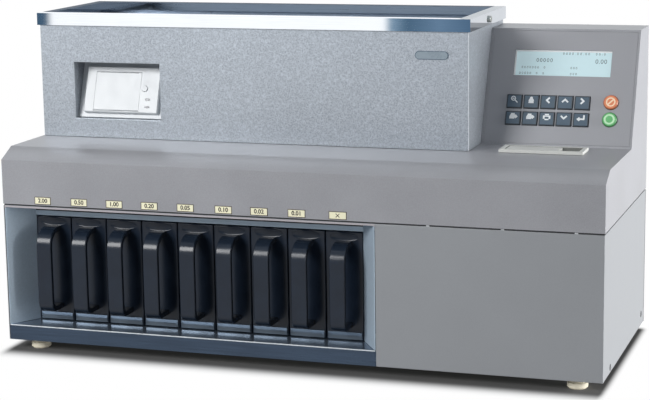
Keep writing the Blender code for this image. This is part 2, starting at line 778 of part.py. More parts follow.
def build_sort_deck():
    """The coin deck, with a slot over each box, a fence in front of the slots and flanges at its ends."""
    left = LEFT + SHEET + GAP
    right = RIGHT - SHEET - GAP
    front = BOX_FRONT + BAY_STEEL + GAP
    path = [
        (left, DECK_BOTTOM - DECK_FLANGE),
        (left, DECK_TOP),
        (right, DECK_TOP),
        (right, DECK_BOTTOM - DECK_FLANGE),
    ]
    item = make_prism("sort_deck", strip(path[::-1], DECK_THICKNESS), front, REAR - DECK_MARGIN, "Y")
    slot_front = FRONT + SLOT_SETBACK
    fence = make_box(
        "fence",
        (box_left(0), slot_front - RAIL_DEPTH, DECK_BOTTOM + DECK_THICKNESS / 2),
        (box_left(BOX_COUNT - 1) + BOX_WIDTH, slot_front, DECK_TOP + RAIL_HEIGHT),
    )
    join(item, fence)
    for index in range(BOX_COUNT):
        slot = make_box(
            "slot",
            (box_left(index) + SLOT_MARGIN, slot_front, DECK_BOTTOM - OVERRUN),
            (box_left(index) + BOX_WIDTH - SLOT_MARGIN, slot_front + SLOT_DEPTH, DECK_TOP + OVERRUN),
        )
        cut(item, slot)
    hole = make_bar(
        "shaft_hole",
        SHAFT_RADIUS + PIN_CLEARANCE,
        (DISC_X, DISC_Y, DECK_BOTTOM - OVERRUN),
        (DISC_X, DISC_Y, DECK_TOP + OVERRUN),
    )
    return finish_piece(cut(item, hole), DARK_STEEL)


def build_sorter_disc():
    """The turning disc that takes coins from the hopper, with a raised rim and its drive shaft."""
    plate = DISC_THICKNESS
    profile = [
        (0, plate),
        (DISC_RADIUS - DISC_RIM_WIDTH, plate),
        (DISC_RADIUS - DISC_RIM_WIDTH, plate + DISC_RIM_HEIGHT),
        (DISC_RADIUS, plate + DISC_RIM_HEIGHT),
        (DISC_RADIUS, 0),
        (SHAFT_RADIUS, 0),
        (SHAFT_RADIUS, -SHAFT_REACH),
        (0, -SHAFT_REACH),
    ]
    item = make_turned("sorter_disc", profile, DISC_SIDES, location=(DISC_X, DISC_Y, DISC_BOTTOM))
    return finish_piece(item, DARK_STEEL, smooth=True)


def build_drive_motor():
    """The motor under the deck, with a square flange and a bore for the disc's shaft."""
    top = DECK_BOTTOM - GAP
    half = MOTOR_FLANGE / 2
    item = make_box(
        "drive_motor",
        (DISC_X - half, DISC_Y - half, top - MOTOR_FLANGE_THICKNESS),
        (DISC_X + half, DISC_Y + half, top),
    )
    bottom = top - MOTOR_FLANGE_THICKNESS - MOTOR_LENGTH
    can = make_bar("motor_can", MOTOR_RADIUS, (DISC_X, DISC_Y, bottom), (DISC_X, DISC_Y, top - GAP))
    bore = make_bar(
        "motor_bore",
        SHAFT_RADIUS + PIN_CLEARANCE,
        (DISC_X, DISC_Y, DISC_BOTTOM - SHAFT_REACH - GAP),
        (DISC_X, DISC_Y, top + OVERRUN),
    )
    return finish_piece(cut(join(item, can), bore), ZINC)


def build_power_supply():
    right = RIGHT - SHEET - SUPPLY_FROM_RIGHT
    front = FRONT + SUPPLY_SETBACK
    bottom = CHASSIS_TOP + GAP
    item = make_box(
        "power_supply",
        (right - SUPPLY_WIDTH, front, bottom),
        (right, front + SUPPLY_DEPTH, bottom + SUPPLY_HEIGHT),
        rounded=SUPPLY_ROUND,
    )
    return finish_piece(item, ZINC)


def build_power_inlet():
    """The mains socket on the back, with a pocket for its rocker switch."""
    place = inlet_place()
    outside = REAR + GAP + INLET_FLANGE
    half_x = INLET_WIDTH / 2
    half_z = INLET_HEIGHT / 2
    item = make_box(
        "power_inlet",
        (place.x - half_x, REAR + GAP, place.z - half_z),
        (place.x + half_x, outside, place.z + half_z),
    )
    body = make_box(
        "inlet_body",
        (place.x - half_x + INLET_BODY_INSET, outside - INLET_DEPTH, place.z - half_z + INLET_BODY_INSET),
        (place.x + half_x - INLET_BODY_INSET, outside - GAP, place.z + half_z - INLET_BODY_INSET),
    )
    plug_x = place.x + PLUG_OFFSET
    socket = make_box(
        "socket",
        (plug_x - PLUG_WIDTH / 2, outside - PLUG_DEPTH, place.z - PLUG_HEIGHT / 2),
        (plug_x + PLUG_WIDTH / 2, outside + OVERRUN, place.z + PLUG_HEIGHT / 2),
    )
    rocker_x = place.x - ROCKER_OFFSET
    depth = ROCKER_THICKNESS - ROCKER_PROUD + ROCKER_HEIGHT / 2 * math.sin(ROCKER_TILT) + GAP
    pocket = make_box(
        "rocker_pocket",
        (rocker_x - ROCKER_WIDTH / 2 - GAP, outside - depth, place.z - ROCKER_HEIGHT / 2 - ROCKER_CLEARANCE),
        (rocker_x + ROCKER_WIDTH / 2 + GAP, outside + OVERRUN, place.z + ROCKER_HEIGHT / 2 + ROCKER_CLEARANCE),
    )
    return finish_piece(cut(join(item, body), socket, pocket), MATT_BLACK)


def build_power_switch():
    """The rocker, which rests with its lower end pressed in."""
    place = inlet_place()
    back = REAR + GAP + INLET_FLANGE + ROCKER_PROUD - ROCKER_THICKNESS
    pivot = make_empty("rocker_pivot", (place.x - ROCKER_OFFSET, back, place.z), -ROCKER_TILT)
    item = make_box(
        "power_switch",
        (-ROCKER_WIDTH / 2, 0, -ROCKER_HEIGHT / 2),
        (ROCKER_WIDTH / 2, ROCKER_THICKNESS, ROCKER_HEIGHT / 2),
        parent=pivot,
    )
    return finish_piece(item, MATT_BLACK)


# Lid

def low_cover_outline():
    return [
        (FRONT, COVER_BOTTOM),
        (REAR, COVER_BOTTOM),
        (REAR, LEDGE),
        (FRONT + LIP_RUN, LEDGE),
        (FRONT, COVER_BOTTOM + FRONT_BAND),
    ]


def console_outline():
    """The console's side view, which starts below the ledge so that it joins the cover."""
    top = LEDGE + CONSOLE_RISE
    bottom = LEDGE - LIP_RISE
    slope_share = LIP_RISE / CONSOLE_RISE
    return [
        (CONSOLE_FOOT - CONSOLE_RUN * slope_share, bottom),
        (REAR, bottom),
        (REAR, top),
        (CONSOLE_FOOT + CONSOLE_RUN, top),
    ]


def build_upper_cover():
    """The lid's shell over the full width, with the console's housing at its right."""
    item = make_prism("upper_cover", low_cover_outline(), LEFT, RIGHT)
    join(item, make_prism("console_shell", console_outline(), CONSOLE_LEFT, RIGHT))
    inner = inset(low_cover_outline(), SHEET)
    cut(item, make_prism("cover_hollow", inner, LEFT + SHEET, RIGHT - SHEET))
    inner = inset(console_outline(), SHEET)
    cut(item, make_prism("console_hollow", inner, CONSOLE_LEFT + SHEET, RIGHT - SHEET))
    across = Vector((BODY_FLANGE, BODY_FLANGE, 0))
    bottom_opening = make_box(
        "bottom_opening",
        Vector((LEFT, FRONT, COVER_BOTTOM - OVERRUN)) + across,
        Vector((RIGHT, REAR, COVER_BOTTOM + OVERRUN)) - across,
    )
    throat_opening = make_box(
        "throat_opening",
        (THROAT_RIGHT - THROAT_WIDTH - THROAT_CLEARANCE, THROAT_FRONT - THROAT_CLEARANCE, LEDGE - OVERRUN),
        (THROAT_RIGHT + THROAT_CLEARANCE, THROAT_FRONT + THROAT_DEPTH + THROAT_CLEARANCE, LEDGE + OVERRUN),
    )
    window = make_box(
        "console_window",
        (CONSOLE_FRAME - CONSOLE_WIDTH, CONSOLE_FRAME, -OVERRUN),
        (-CONSOLE_FRAME, CONSOLE_SLOPE - CONSOLE_FRAME, OVERRUN),
        parent=CONSOLE,
    )
    tub_inset = LATCH_RIM - LATCH_WALL - GAP
    latch_opening = make_box(
        "latch_opening",
        (LATCH_LEFT + tub_inset, LATCH_FRONT + tub_inset, LEDGE - OVERRUN),
        (LATCH_LEFT + LATCH_LENGTH - tub_inset, LATCH_FRONT + LATCH_DEPTH - tub_inset, LEDGE + OVERRUN),
    )
    cut(item, bottom_opening, throat_opening, window, latch_opening)
    join(item, *hinge_knuckles(upper=True))
    cut(item, hinge_bore())
    return finish_piece(hang_on(item, LID), PALE_GREY)


def build_hopper_body():
    """The hopper's painted walls, with a seat turned in at the bottom and the printer's tilted niche."""
    low = Vector((HOPPER_LEFT, HOPPER_FRONT, HOPPER_BOTTOM))
    high = Vector((HOPPER_RIGHT, REAR, HOPPER_TOP))
    item = make_box("hopper_body", low, high)
    wall = Vector((SHEET, SHEET, 0))
    seat = Vector((HOPPER_SEAT, HOPPER_SEAT, 0))
    up = Vector((0, 0, OVERRUN))
    hollow = make_box("hopper_hollow", low + wall + Vector((0, 0, SHEET)), high - wall + up)
    seat_opening = make_box("seat_opening", low + seat - up, (high.x - seat.x, high.y - seat.y, low.z + OVERRUN))
    cut(item, hollow, seat_opening)
    niche_top = NICHE_BOTTOM + NICHE_HEIGHT
    niche = [
        (HOPPER_FRONT, NICHE_BOTTOM),
        (HOPPER_FRONT + NICHE_BOTTOM_DEPTH, NICHE_BOTTOM),
        (HOPPER_FRONT + NICHE_TOP_DEPTH, niche_top),
        (HOPPER_FRONT, niche_top),
    ]
    tub = inset(niche, -SHEET)
    tub[0] = (HOPPER_FRONT + SHEET / 2, tub[0][1])
    tub[3] = (HOPPER_FRONT + SHEET / 2, tub[3][1])
    join(item, make_prism("niche_tub", tub, NICHE_LEFT - SHEET, NICHE_LEFT + NICHE_WIDTH + SHEET))
    niche[0] = (HOPPER_FRONT - OVERRUN, niche[0][1])
    niche[3] = (HOPPER_FRONT - OVERRUN, niche[3][1])
    cut(item, make_prism("niche_hollow", niche, NICHE_LEFT, NICHE_LEFT + NICHE_WIDTH))
    low_edge = PRINTER_ABOVE_SILL + PRINTER_BODY_INSET - GAP
    high_edge = PRINTER_ABOVE_SILL + PRINTER_HEIGHT - PRINTER_BODY_INSET + GAP
    half = PRINTER_WIDTH / 2 - PRINTER_BODY_INSET + GAP
    printer_hole = make_box(
        "printer_hole",
        (PRINTER_OFFSET - half, low_edge, -OVERRUN),
        (PRINTER_OFFSET + half, high_edge, OVERRUN),
        parent=NICHE,
    )
    cut(item, printer_hole)
    return finish_piece(hang_on(item, LID), HOPPER_GREY)


def frame_box(name, low, high, width):
    """A box with a rectangular hole right through it from top to bottom."""
    item = make_box(name, low, high)
    across = Vector((width, width, -OVERRUN))
    return cut(item, make_box(name + "_hole", Vector(low) + across, Vector(high) - across))


def build_hopper_rim():
    """The polished rim, a folded channel that caps the hopper's walls."""
    low = Vector((HOPPER_LEFT - RIM_OVERHANG, HOPPER_FRONT - RIM_OVERHANG, RIM_TOP - RIM_HEIGHT))
    high = Vector((HOPPER_RIGHT + RIM_OVERHANG, REAR + RIM_OVERHANG, RIM_TOP))
    item = frame_box("hopper_rim", (low.x, low.y, RIM_TOP - RIM_STEEL), high, RIM_WIDTH)
    skirt = frame_box("rim_skirt", low, high, RIM_STEEL)
    inner = Vector((RIM_WIDTH - RIM_STEEL, RIM_WIDTH - RIM_STEEL, 0))
    fold = frame_box("rim_fold", (low.x + inner.x, low.y + inner.y, RIM_TOP - RIM_INNER_HEIGHT), high - inner, RIM_STEEL)
    return finish_piece(hang_on(join(item, skirt, fold), LID), STEEL)


def liner_rings(steel, top, bottom):
    """Sections of the liner from its band down to its throat, widened by the steel for its outer side."""
    left = HOPPER_LEFT + SHEET + GAP + LINER_STEEL - steel
    right = HOPPER_RIGHT - SHEET - GAP - LINER_STEEL + steel
    front = HOPPER_FRONT + SHEET + GAP + LINER_STEEL - steel
    back = REAR - SHEET - GAP - LINER_STEEL + steel
    band_bottom = HOPPER_TOP - LINER_BAND - steel
    throat = (
        THROAT_RIGHT - THROAT_WIDTH - steel,
        THROAT_RIGHT + steel,
        THROAT_FRONT - steel,
        THROAT_FRONT + THROAT_DEPTH + steel,
    )
    return [
        level_ring(top, left, right, front, back),
        level_ring(band_bottom, left, right, front, back),
        level_ring(LEDGE + THROAT_RISE - steel, *throat),
        level_ring(bottom, *throat),
    ]


def build_hopper_liner():
    """The steel chute inside the hopper, which slopes to a throat over the sorting disc."""
    bottom = DISC_TOP + DISC_CLEARANCE
    item = make_loft("hopper_liner", liner_rings(LINER_STEEL, HOPPER_TOP, bottom))
    hollow = make_loft("liner_hollow", liner_rings(0, HOPPER_TOP + OVERRUN, bottom - OVERRUN))
    return finish_piece(hang_on(cut(item, hollow), LID), DARK_STEEL)


# Console

def key_centres():
    for row in range(KEY_ROWS):
        for column in range(KEY_COLUMNS):
            x = -KEYS_FROM_RIGHT + (column - (KEY_COLUMNS - 1) / 2) * KEY_PITCH_X
            y = KEYS_UP + ((KEY_ROWS - 1) / 2 - row) * KEY_PITCH_UP
            yield row * KEY_COLUMNS + column + 1, x, y


def board_corners():
    """The control board's low and high corners in the console's frame, round the keys and buttons."""
    reach = (KEY_COLUMNS * KEY_PITCH_X) / 2 + BOARD_MARGIN
    left = -KEYS_FROM_RIGHT - reach
    right = -BUTTONS_FROM_RIGHT + BUTTON_RADIUS + BOARD_MARGIN
    low_up = KEYS_UP - KEY_ROWS * KEY_PITCH_UP / 2 - BOARD_MARGIN
    high_up = STOP_UP + BUTTON_RADIUS + BOARD_MARGIN
    return (left, low_up, -BOARD_FRONT - BOARD_THICKNESS), (right, high_up, -BOARD_FRONT)


def build_console_plate():
    """The console's face, with holes for the display, keys and buttons, and posts for the board."""
    edge = CONSOLE_FRAME + GAP
    item = make_box(
        "console_plate",
        (edge - CONSOLE_WIDTH, edge, -CONSOLE_PLATE),
        (-edge, CONSOLE_SLOPE - edge, 0),
        parent=CONSOLE,
    )
    half_x = SCREEN_WIDTH / 2 + GAP
    half_up = SCREEN_HEIGHT / 2 + GAP
    screen_hole = make_box(
        "screen_hole",
        (-SCREEN_FROM_RIGHT - half_x, SCREEN_UP - half_up, -CONSOLE_PLATE - OVERRUN),
        (-SCREEN_FROM_RIGHT + half_x, SCREEN_UP + half_up, OVERRUN),
        parent=CONSOLE,
    )
    cut(item, screen_hole)
    for _, x, y in key_centres():
        half_x = KEY_WIDTH / 2 + GAP
        half_up = KEY_HEIGHT / 2 + GAP
        hole = make_box(
            "key_hole",
            (x - half_x, y - half_up, -CONSOLE_PLATE - OVERRUN),
            (x + half_x, y + half_up, OVERRUN),
            parent=CONSOLE,
        )
        cut(item, hole)
    for up in (STOP_UP, START_UP):
        hole = make_bar(
            "button_hole",
            BUTTON_RADIUS + GAP,
            (-BUTTONS_FROM_RIGHT, up, -CONSOLE_PLATE - OVERRUN),
            (-BUTTONS_FROM_RIGHT, up, OVERRUN),
            parent=CONSOLE,
        )
        cut(item, hole)
    low, high = board_corners()
    inside = BOARD_MARGIN / 2
    for x in (low[0] + inside, high[0] - inside):
        for y in (low[1] + inside, high[1] - inside):
            post = make_bar(
                "board_post",
                POST_RADIUS,
                (x, y, GAP - BOARD_FRONT),
                (x, y, -CONSOLE_PLATE / 2),
                parent=CONSOLE,
                sides=SMALL_SIDES,
            )
            join(item, post)
    return finish_piece(hang_on(item, LID), SHEET_GREY)


def build_display():
    """The display module behind the console's face, and the clear lens in front of it."""
    half_x = SCREEN_WIDTH / 2 + MODULE_MARGIN
    half_up = SCREEN_HEIGHT / 2 + MODULE_MARGIN
    front = -CONSOLE_PLATE - GAP
    module = make_box(
        "lcd_module",
        (-SCREEN_FROM_RIGHT - half_x, SCREEN_UP - half_up, front - MODULE_DEPTH),
        (-SCREEN_FROM_RIGHT + half_x, SCREEN_UP + half_up, front),
        parent=CONSOLE,
    )
    finish_piece(hang_on(module, LID), MATT_BLACK)
    lens = make_box(
        "lcd_window",
        (-SCREEN_FROM_RIGHT - SCREEN_WIDTH / 2, SCREEN_UP - SCREEN_HEIGHT / 2, -CONSOLE_PLATE),
        (-SCREEN_FROM_RIGHT + SCREEN_WIDTH / 2, SCREEN_UP + SCREEN_HEIGHT / 2, SCREEN_LENS - CONSOLE_PLATE),
        parent=CONSOLE,
    )
    finish_piece(hang_on(lens, LID), DISPLAY)


def build_key(number, x, y):
    """A key with a plunger, a flange that holds it behind the face, and a cap with chamfered edges."""
    flange_top = -CONSOLE_PLATE - GAP
    half_x = KEY_WIDTH / 2
    half_up = KEY_HEIGHT / 2
    steps = [
        (-KEY_BACK, KEY_STEM_WIDTH / 2, KEY_STEM_WIDTH / 2),
        (flange_top - KEY_FLANGE, KEY_STEM_WIDTH / 2, KEY_STEM_WIDTH / 2),
        (flange_top - KEY_FLANGE, half_x + GAP + KEY_GRIP, half_up + GAP + KEY_GRIP),
        (flange_top, half_x + GAP + KEY_GRIP, half_up + GAP + KEY_GRIP),
        (flange_top, half_x, half_up),
        (KEY_PROUD - KEY_ROUND, half_x, half_up),
        (KEY_PROUD, half_x - KEY_ROUND, half_up - KEY_ROUND),
    ]
    item = make_loft(f"key_{number}", [level_ring(z, -u, u, -v, v) for z, u, v in steps], parent=CONSOLE)
    item.location = (x, y, 0)
    return finish_piece(hang_on(item, LID), KEY_BLUE)


def button_profile(radius, proud, rounded, flange_top, stem_radius, stem_length):
    """The turned profile of a sprung push button, with its flange and plunger."""
    wide = radius + GAP + KEY_GRIP
    flange_bottom = flange_top - KEY_FLANGE
    return [
        (0, proud),
        (radius - rounded, proud),
        (radius, proud - rounded),
        (radius, flange_top),
        (wide, flange_top),
        (wide, flange_bottom),
        (stem_radius, flange_bottom),
        (stem_radius, flange_bottom - stem_length),
        (0, flange_bottom - stem_length),
    ]


def build_round_buttons():
    flange_top = -CONSOLE_PLATE - GAP
    profile = button_profile(
        BUTTON_RADIUS, BUTTON_PROUD, BUTTON_ROUND, flange_top, BUTTON_STEM_RADIUS, KEY_STEM_LENGTH
    )
    for name, up, material in (("stop_button", STOP_UP, ORANGE), ("start_button", START_UP, GREEN)):
        item = make_turned(name, profile, parent=CONSOLE, location=(-BUTTONS_FROM_RIGHT, up, 0))
        finish_piece(hang_on(item, LID), material, smooth=True)


def build_control_board():
    low, high = board_corners()
    item = make_box("control_board", low, high, parent=CONSOLE)
    return finish_piece(hang_on(item, LID), BOARD_GREEN)


# Printer

def door_place():
    """The low left corner of the printer's door on the bezel, in the niche's frame."""
    left = PRINTER_OFFSET - PRINTER_WIDTH / 2 + DOOR_FROM_LEFT
    return left, PRINTER_ABOVE_SILL + DOOR_ABOVE_EDGE


def build_printer_housing():
    """The printer's flange, bezel and body, with a well for the paper roll behind its door."""
    face = GAP + PRINTER_BEZEL
    half = PRINTER_WIDTH / 2
    item = make_box(
        "printer_housing",
        (PRINTER_OFFSET - half, PRINTER_ABOVE_SILL, GAP),
        (PRINTER_OFFSET + half, PRINTER_ABOVE_SILL + PRINTER_HEIGHT, face),
        parent=NICHE,
        rounded=PRINTER_ROUND,
    )
    body_half = half - PRINTER_BODY_INSET
    body = make_box(
        "printer_body",
        (PRINTER_OFFSET - body_half, PRINTER_ABOVE_SILL + PRINTER_BODY_INSET, -PRINTER_BODY_DEPTH),
        (
            PRINTER_OFFSET + body_half,
            PRINTER_ABOVE_SILL + PRINTER_HEIGHT - PRINTER_BODY_INSET,
            face - PRINTER_ROUND,
        ),
        parent=NICHE,
    )
    flange_half = NICHE_WIDTH / 2 - GAP
    flange = make_box(
        "printer_flange",
        (-flange_half, GAP, GAP),
        (flange_half, NICHE_SLOPE - PRINTER_FLANGE, GAP + PRINTER_FLANGE),
        parent=NICHE,
    )
    left, low = door_place()
    sink = face - DOOR_THICKNESS - DOOR_CLEARANCE
    recess = make_box(
        "door_recess",
        (left - DOOR_CLEARANCE, low - DOOR_CLEARANCE, sink),
        (left + DOOR_WIDTH + DOOR_CLEARANCE, low + DOOR_HEIGHT + DOOR_CLEARANCE, face + OVERRUN),
        parent=NICHE,
    )
    well_low = max(low, PRINTER_ABOVE_SILL + PRINTER_BODY_INSET) + DOOR_SEAT
    well = make_box(
        "paper_well",
        (left + DOOR_SEAT, well_low, sink - PAPER_WELL_DEPTH),
        (left + DOOR_WIDTH - DOOR_SEAT, low + DOOR_HEIGHT - DOOR_SEAT, face),
        parent=NICHE,
    )
    x, up = feed_button_place()
    flange_depth = GAP + FEED_BUTTON_TRAVEL
    wide = FEED_BUTTON_RADIUS + KEY_GRIP + GAP + GAP
    neck = make_bar(
        "button_neck",
        FEED_BUTTON_RADIUS + GAP,
        (x, up, face - CONSOLE_PLATE - OVERRUN),
        (x, up, face + OVERRUN),
        parent=NICHE,
        sides=ROUND_SIDES,
    )
    chamber_depth = CONSOLE_PLATE + GAP + KEY_FLANGE + FEED_BUTTON_STEM + flange_depth
    chamber = make_bar(
        "button_chamber",
        wide,
        (x, up, face - chamber_depth),
        (x, up, face - CONSOLE_PLATE),
        parent=NICHE,
        sides=ROUND_SIDES,
    )
    cut(join(item, flange, body), recess, well, neck, chamber)
    return finish_piece(hang_on(item, LID), PRINTER_WHITE)


def build_printer_door():
    """The paper door, with a round hinge edge at its bottom."""
    face = GAP + PRINTER_BEZEL
    left, low = door_place()
    radius = DOOR_THICKNESS / 2
    pivot = make_empty("door_pivot", (left + DOOR_WIDTH / 2, low + radius, face - radius), parent=NICHE)
    item = make_box(
        "printer_door",
        (-DOOR_WIDTH / 2, 0, -radius),
        (DOOR_WIDTH / 2, DOOR_HEIGHT - radius, radius),
        parent=pivot,
    )
    barrel = make_bar(
        "door_barrel",
        radius,
        (-DOOR_WIDTH / 2, 0, 0),
        (DOOR_WIDTH / 2, 0, 0),
        parent=pivot,
        sides=SMALL_SIDES,
    )
    join(item, barrel)
    hang_on(pivot, LID)
    return finish_piece(item, PRINTER_WHITE)


def feed_button_place():
    right = PRINTER_OFFSET + PRINTER_WIDTH / 2
    return right - FEED_BUTTON_FROM_RIGHT, PRINTER_ABOVE_SILL + FEED_BUTTON_UP


def build_feed_button():
    x, up = feed_button_place()
    profile = button_profile(
        FEED_BUTTON_RADIUS,
        FEED_BUTTON_PROUD,
        FEED_BUTTON_ROUND,
        -CONSOLE_PLATE - GAP,
        FEED_BUTTON_RADIUS / 2,
        FEED_BUTTON_STEM,
    )
    place = (x, up, GAP + PRINTER_BEZEL)
    item = make_turned("printer_button", profile, parent=NICHE, location=place)
    return finish_piece(hang_on(item, LID), PALE_GREY, smooth=True)


# Latch

def build_latch_frame():
    """The latch's bezel on the ledge, with a tub below it."""
    low = Vector((LATCH_LEFT, LATCH_FRONT, LEDGE + GAP))
    high = Vector((LATCH_LEFT + LATCH_LENGTH, LATCH_FRONT + LATCH_DEPTH, LATCH_TOP))
    item = make_box("latch_frame", low, high)
    around = Vector((LATCH_RIM - LATCH_WALL, LATCH_RIM - LATCH_WALL, 0))
    floor = LATCH_TOP - LATCH_POCKET
    tub = make_box(
        "latch_tub",
        Vector((low.x, low.y, floor - LATCH_WALL)) + around,
        high - around - Vector((0, 0, LATCH_PROUD / 2)),
    )
    rim = Vector((LATCH_RIM, LATCH_RIM, 0))
    pocket = make_box(
        "latch_pocket",
        Vector((low.x, low.y, floor)) + rim,
        high - rim + Vector((0, 0, OVERRUN)),
    )
    return finish_piece(hang_on(cut(join(item, tub), pocket), LID), LATCH_WHITE)


def build_latch_paddle():
    """The paddle, which turns on its round left end when a finger lifts its right end."""
    radius = PADDLE_THICKNESS / 2
    pivot_place = (
        LATCH_LEFT + LATCH_RIM + PADDLE_CLEARANCE + radius,
        LATCH_FRONT + LATCH_DEPTH / 2,
        LATCH_TOP - PADDLE_SINK - radius,
    )
    pivot = make_empty("paddle_pivot", pivot_place)
    half = LATCH_DEPTH / 2 - LATCH_RIM - PADDLE_CLEARANCE
    item = make_box("latch_paddle", (0, -half, -radius), (PADDLE_LENGTH, half, radius), parent=pivot)
    barrel = make_bar("paddle_barrel", radius, (0, -half, 0), (0, half, 0), parent=pivot, sides=SMALL_SIDES)
    hang_on(pivot, LID)
    return finish_piece(join(item, barrel), LATCH_WHITE)


def build_coin_counter():
    build_chassis()
    build_feet()
    build_left_panel()
    build_right_cover()
    build_rear_panel()
    build_hinge_pin()
    build_gasket()
    build_bay_surround()
    for index in range(BOX_COUNT):
        build_coin_box(index)
        build_handle(index)
    build_sort_deck()
    build_sorter_disc()
    build_drive_motor()
    build_power_supply()
    build_power_inlet()
    build_power_switch()
    build_upper_cover()
    build_hopper_body()
    build_hopper_rim()
    build_hopper_liner()
    build_console_plate()
    build_display()
    for number, x, y in key_centres():
        build_key(number, x, y)
    build_round_buttons()
    build_control_board()
    build_printer_housing()
    build_printer_door()
    build_feed_button()
    build_latch_frame()
    build_latch_paddle()


build_coin_counter()
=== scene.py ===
"""The looks of a shop coin counter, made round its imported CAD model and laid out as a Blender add-on."""

import math

import bmesh
import bpy
from mathutils import Matrix, Vector


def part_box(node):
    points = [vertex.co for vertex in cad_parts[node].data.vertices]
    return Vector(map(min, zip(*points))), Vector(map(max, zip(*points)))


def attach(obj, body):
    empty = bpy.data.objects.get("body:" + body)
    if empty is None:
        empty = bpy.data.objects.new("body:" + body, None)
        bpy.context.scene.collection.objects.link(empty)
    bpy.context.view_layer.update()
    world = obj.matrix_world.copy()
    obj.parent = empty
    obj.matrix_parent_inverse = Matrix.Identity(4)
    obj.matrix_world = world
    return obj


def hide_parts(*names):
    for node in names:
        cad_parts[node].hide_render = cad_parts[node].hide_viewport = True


bl_info = {
    "name": "Coin counter looks",
    "version": (1, 0, 0),
    "blender": (4, 5, 0),
    "location": "3D View > Sidebar > Coin counter",
    "description": "Dresses the packed coin counter with finished surfaces and small parts",
    "category": "Object",
}

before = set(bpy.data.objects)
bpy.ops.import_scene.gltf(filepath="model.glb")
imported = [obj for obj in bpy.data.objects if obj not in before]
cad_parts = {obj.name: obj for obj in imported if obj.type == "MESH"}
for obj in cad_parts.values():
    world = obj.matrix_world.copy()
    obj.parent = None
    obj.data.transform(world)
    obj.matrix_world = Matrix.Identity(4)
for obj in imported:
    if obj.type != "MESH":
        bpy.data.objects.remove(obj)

MM = 0.001
MERGE = 0.00002
FLAT_ANGLE = math.radians(0.6)
SMOOTH_ANGLE = math.radians(38)
ROUND = 48
SMALL_ROUND = 20
BOXES = range(1, 10)
KEYS = range(1, 11)
CORNERS = ("front_left", "front_right", "rear_left", "rear_right")

WHOLE_LOW = Vector([min(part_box(n)[0][i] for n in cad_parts) for i in range(3)])
WHOLE_HIGH = Vector([max(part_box(n)[1][i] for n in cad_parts) for i in range(3)])
CASE_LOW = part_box("left_side_panel")[0]
CASE_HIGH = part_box("right_cover")[1]
FRONT = CASE_LOW.y
BASE = CASE_LOW.z
# Depth taken off a flat side for what sits on it, so that it stays within the counter's size
PLATE_ROOM = 0.55 * MM
HEAD_ROOM = 0.3 * MM

# The console's face and the printer's niche lean back, and their pieces are made in their own planes
CONSOLE_RUN = 0.0650
CONSOLE_RISE = 0.1479
CONSOLE_FOOT = Vector((0.4050, 0.02535, 0.2748))
CONSOLE = Matrix.Translation(CONSOLE_FOOT) @ Matrix.Rotation(
    math.pi / 2 - math.atan2(CONSOLE_RUN, CONSOLE_RISE), 4, "X"
)
NICHE_RUN = 0.0270
NICHE_RISE = 0.0775
NICHE_FOOT = Vector((-0.2890, -0.02985, 0.3013))
NICHE = Matrix.Translation(NICHE_FOOT) @ Matrix.Rotation(
    math.pi / 2 - math.atan2(NICHE_RUN, NICHE_RISE), 4, "X"
)
UPRIGHT_FRONT = Matrix.Rotation(math.pi / 2, 4, "X")
UPRIGHT_REAR = Matrix.Rotation(math.pi, 4, "Z") @ Matrix.Rotation(math.pi / 2, 4, "X")
UPRIGHT_RIGHT = Matrix.Rotation(math.pi / 2, 4, "Z") @ Matrix.Rotation(math.pi / 2, 4, "X")
UPRIGHT_LEFT = Matrix.Rotation(-math.pi / 2, 4, "Z") @ Matrix.Rotation(math.pi / 2, 4, "X")


# Handling of objects

def clear_selection():
    if bpy.context.mode != "OBJECT":
        bpy.ops.object.mode_set(mode="OBJECT")
    bpy.ops.object.select_all(action="DESELECT")


def take(item):
    """Select one object alone and make it the active one."""
    clear_selection()
    item.select_set(True)
    bpy.context.view_layer.objects.active = item
    return item


def named(name):
    item = bpy.context.active_object
    item.name = name
    item.data.name = name
    return item


def fix_place(item):
    """Move an object's place, turn and scale into its mesh."""
    take(item)
    bpy.ops.object.transform_apply(location=True, rotation=True, scale=True)
    return item


def put(item, place):
    """Carry a piece from its own plane to its place on the counter."""
    item.matrix_world = place @ item.matrix_world
    return fix_place(item)


def add_block(name, low, high):
    """A box between two corners."""
    clear_selection()
    low, high = Vector(low), Vector(high)
    bpy.ops.mesh.primitive_cube_add(size=1, location=(low + high) / 2)
    item = named(name)
    item.scale = high - low
    return fix_place(item)


def add_round(name, radius, centre, low, high, sides=ROUND):
    """A disc or rod that stands on its own plane, from one height to another."""
    clear_selection()
    bpy.ops.mesh.primitive_cylinder_add(
        vertices=sides,
        radius=radius,
        depth=high - low,
        location=(centre[0], centre[1], (low + high) / 2),
    )
    return fix_place(named(name))


def add_ring(name, radius, thickness, centre, height, flat=0.4):
    """A ring that lies on its own plane."""
    clear_selection()
    bpy.ops.mesh.primitive_torus_add(
        major_radius=radius,
        minor_radius=thickness / 2,
        major_segments=ROUND,
        minor_segments=12,
        location=(centre[0], centre[1], height),
    )
    item = named(name)
    item.scale = (1, 1, flat)
    return fix_place(item)


def add_stroke(name, start, end, width, low, high):
    """A straight stroke of a sign, between two points of its plane."""
    start, end = Vector(start), Vector(end)
    run = end - start
    clear_selection()
    middle = (start + end) / 2
    bpy.ops.mesh.primitive_cube_add(size=1, location=(middle.x, middle.y, (low + high) / 2))
    item = named(name)
    item.scale = (run.length + width * 0.7, width, high - low)
    item.rotation_euler = (0, 0, math.atan2(run.y, run.x))
    return fix_place(item)


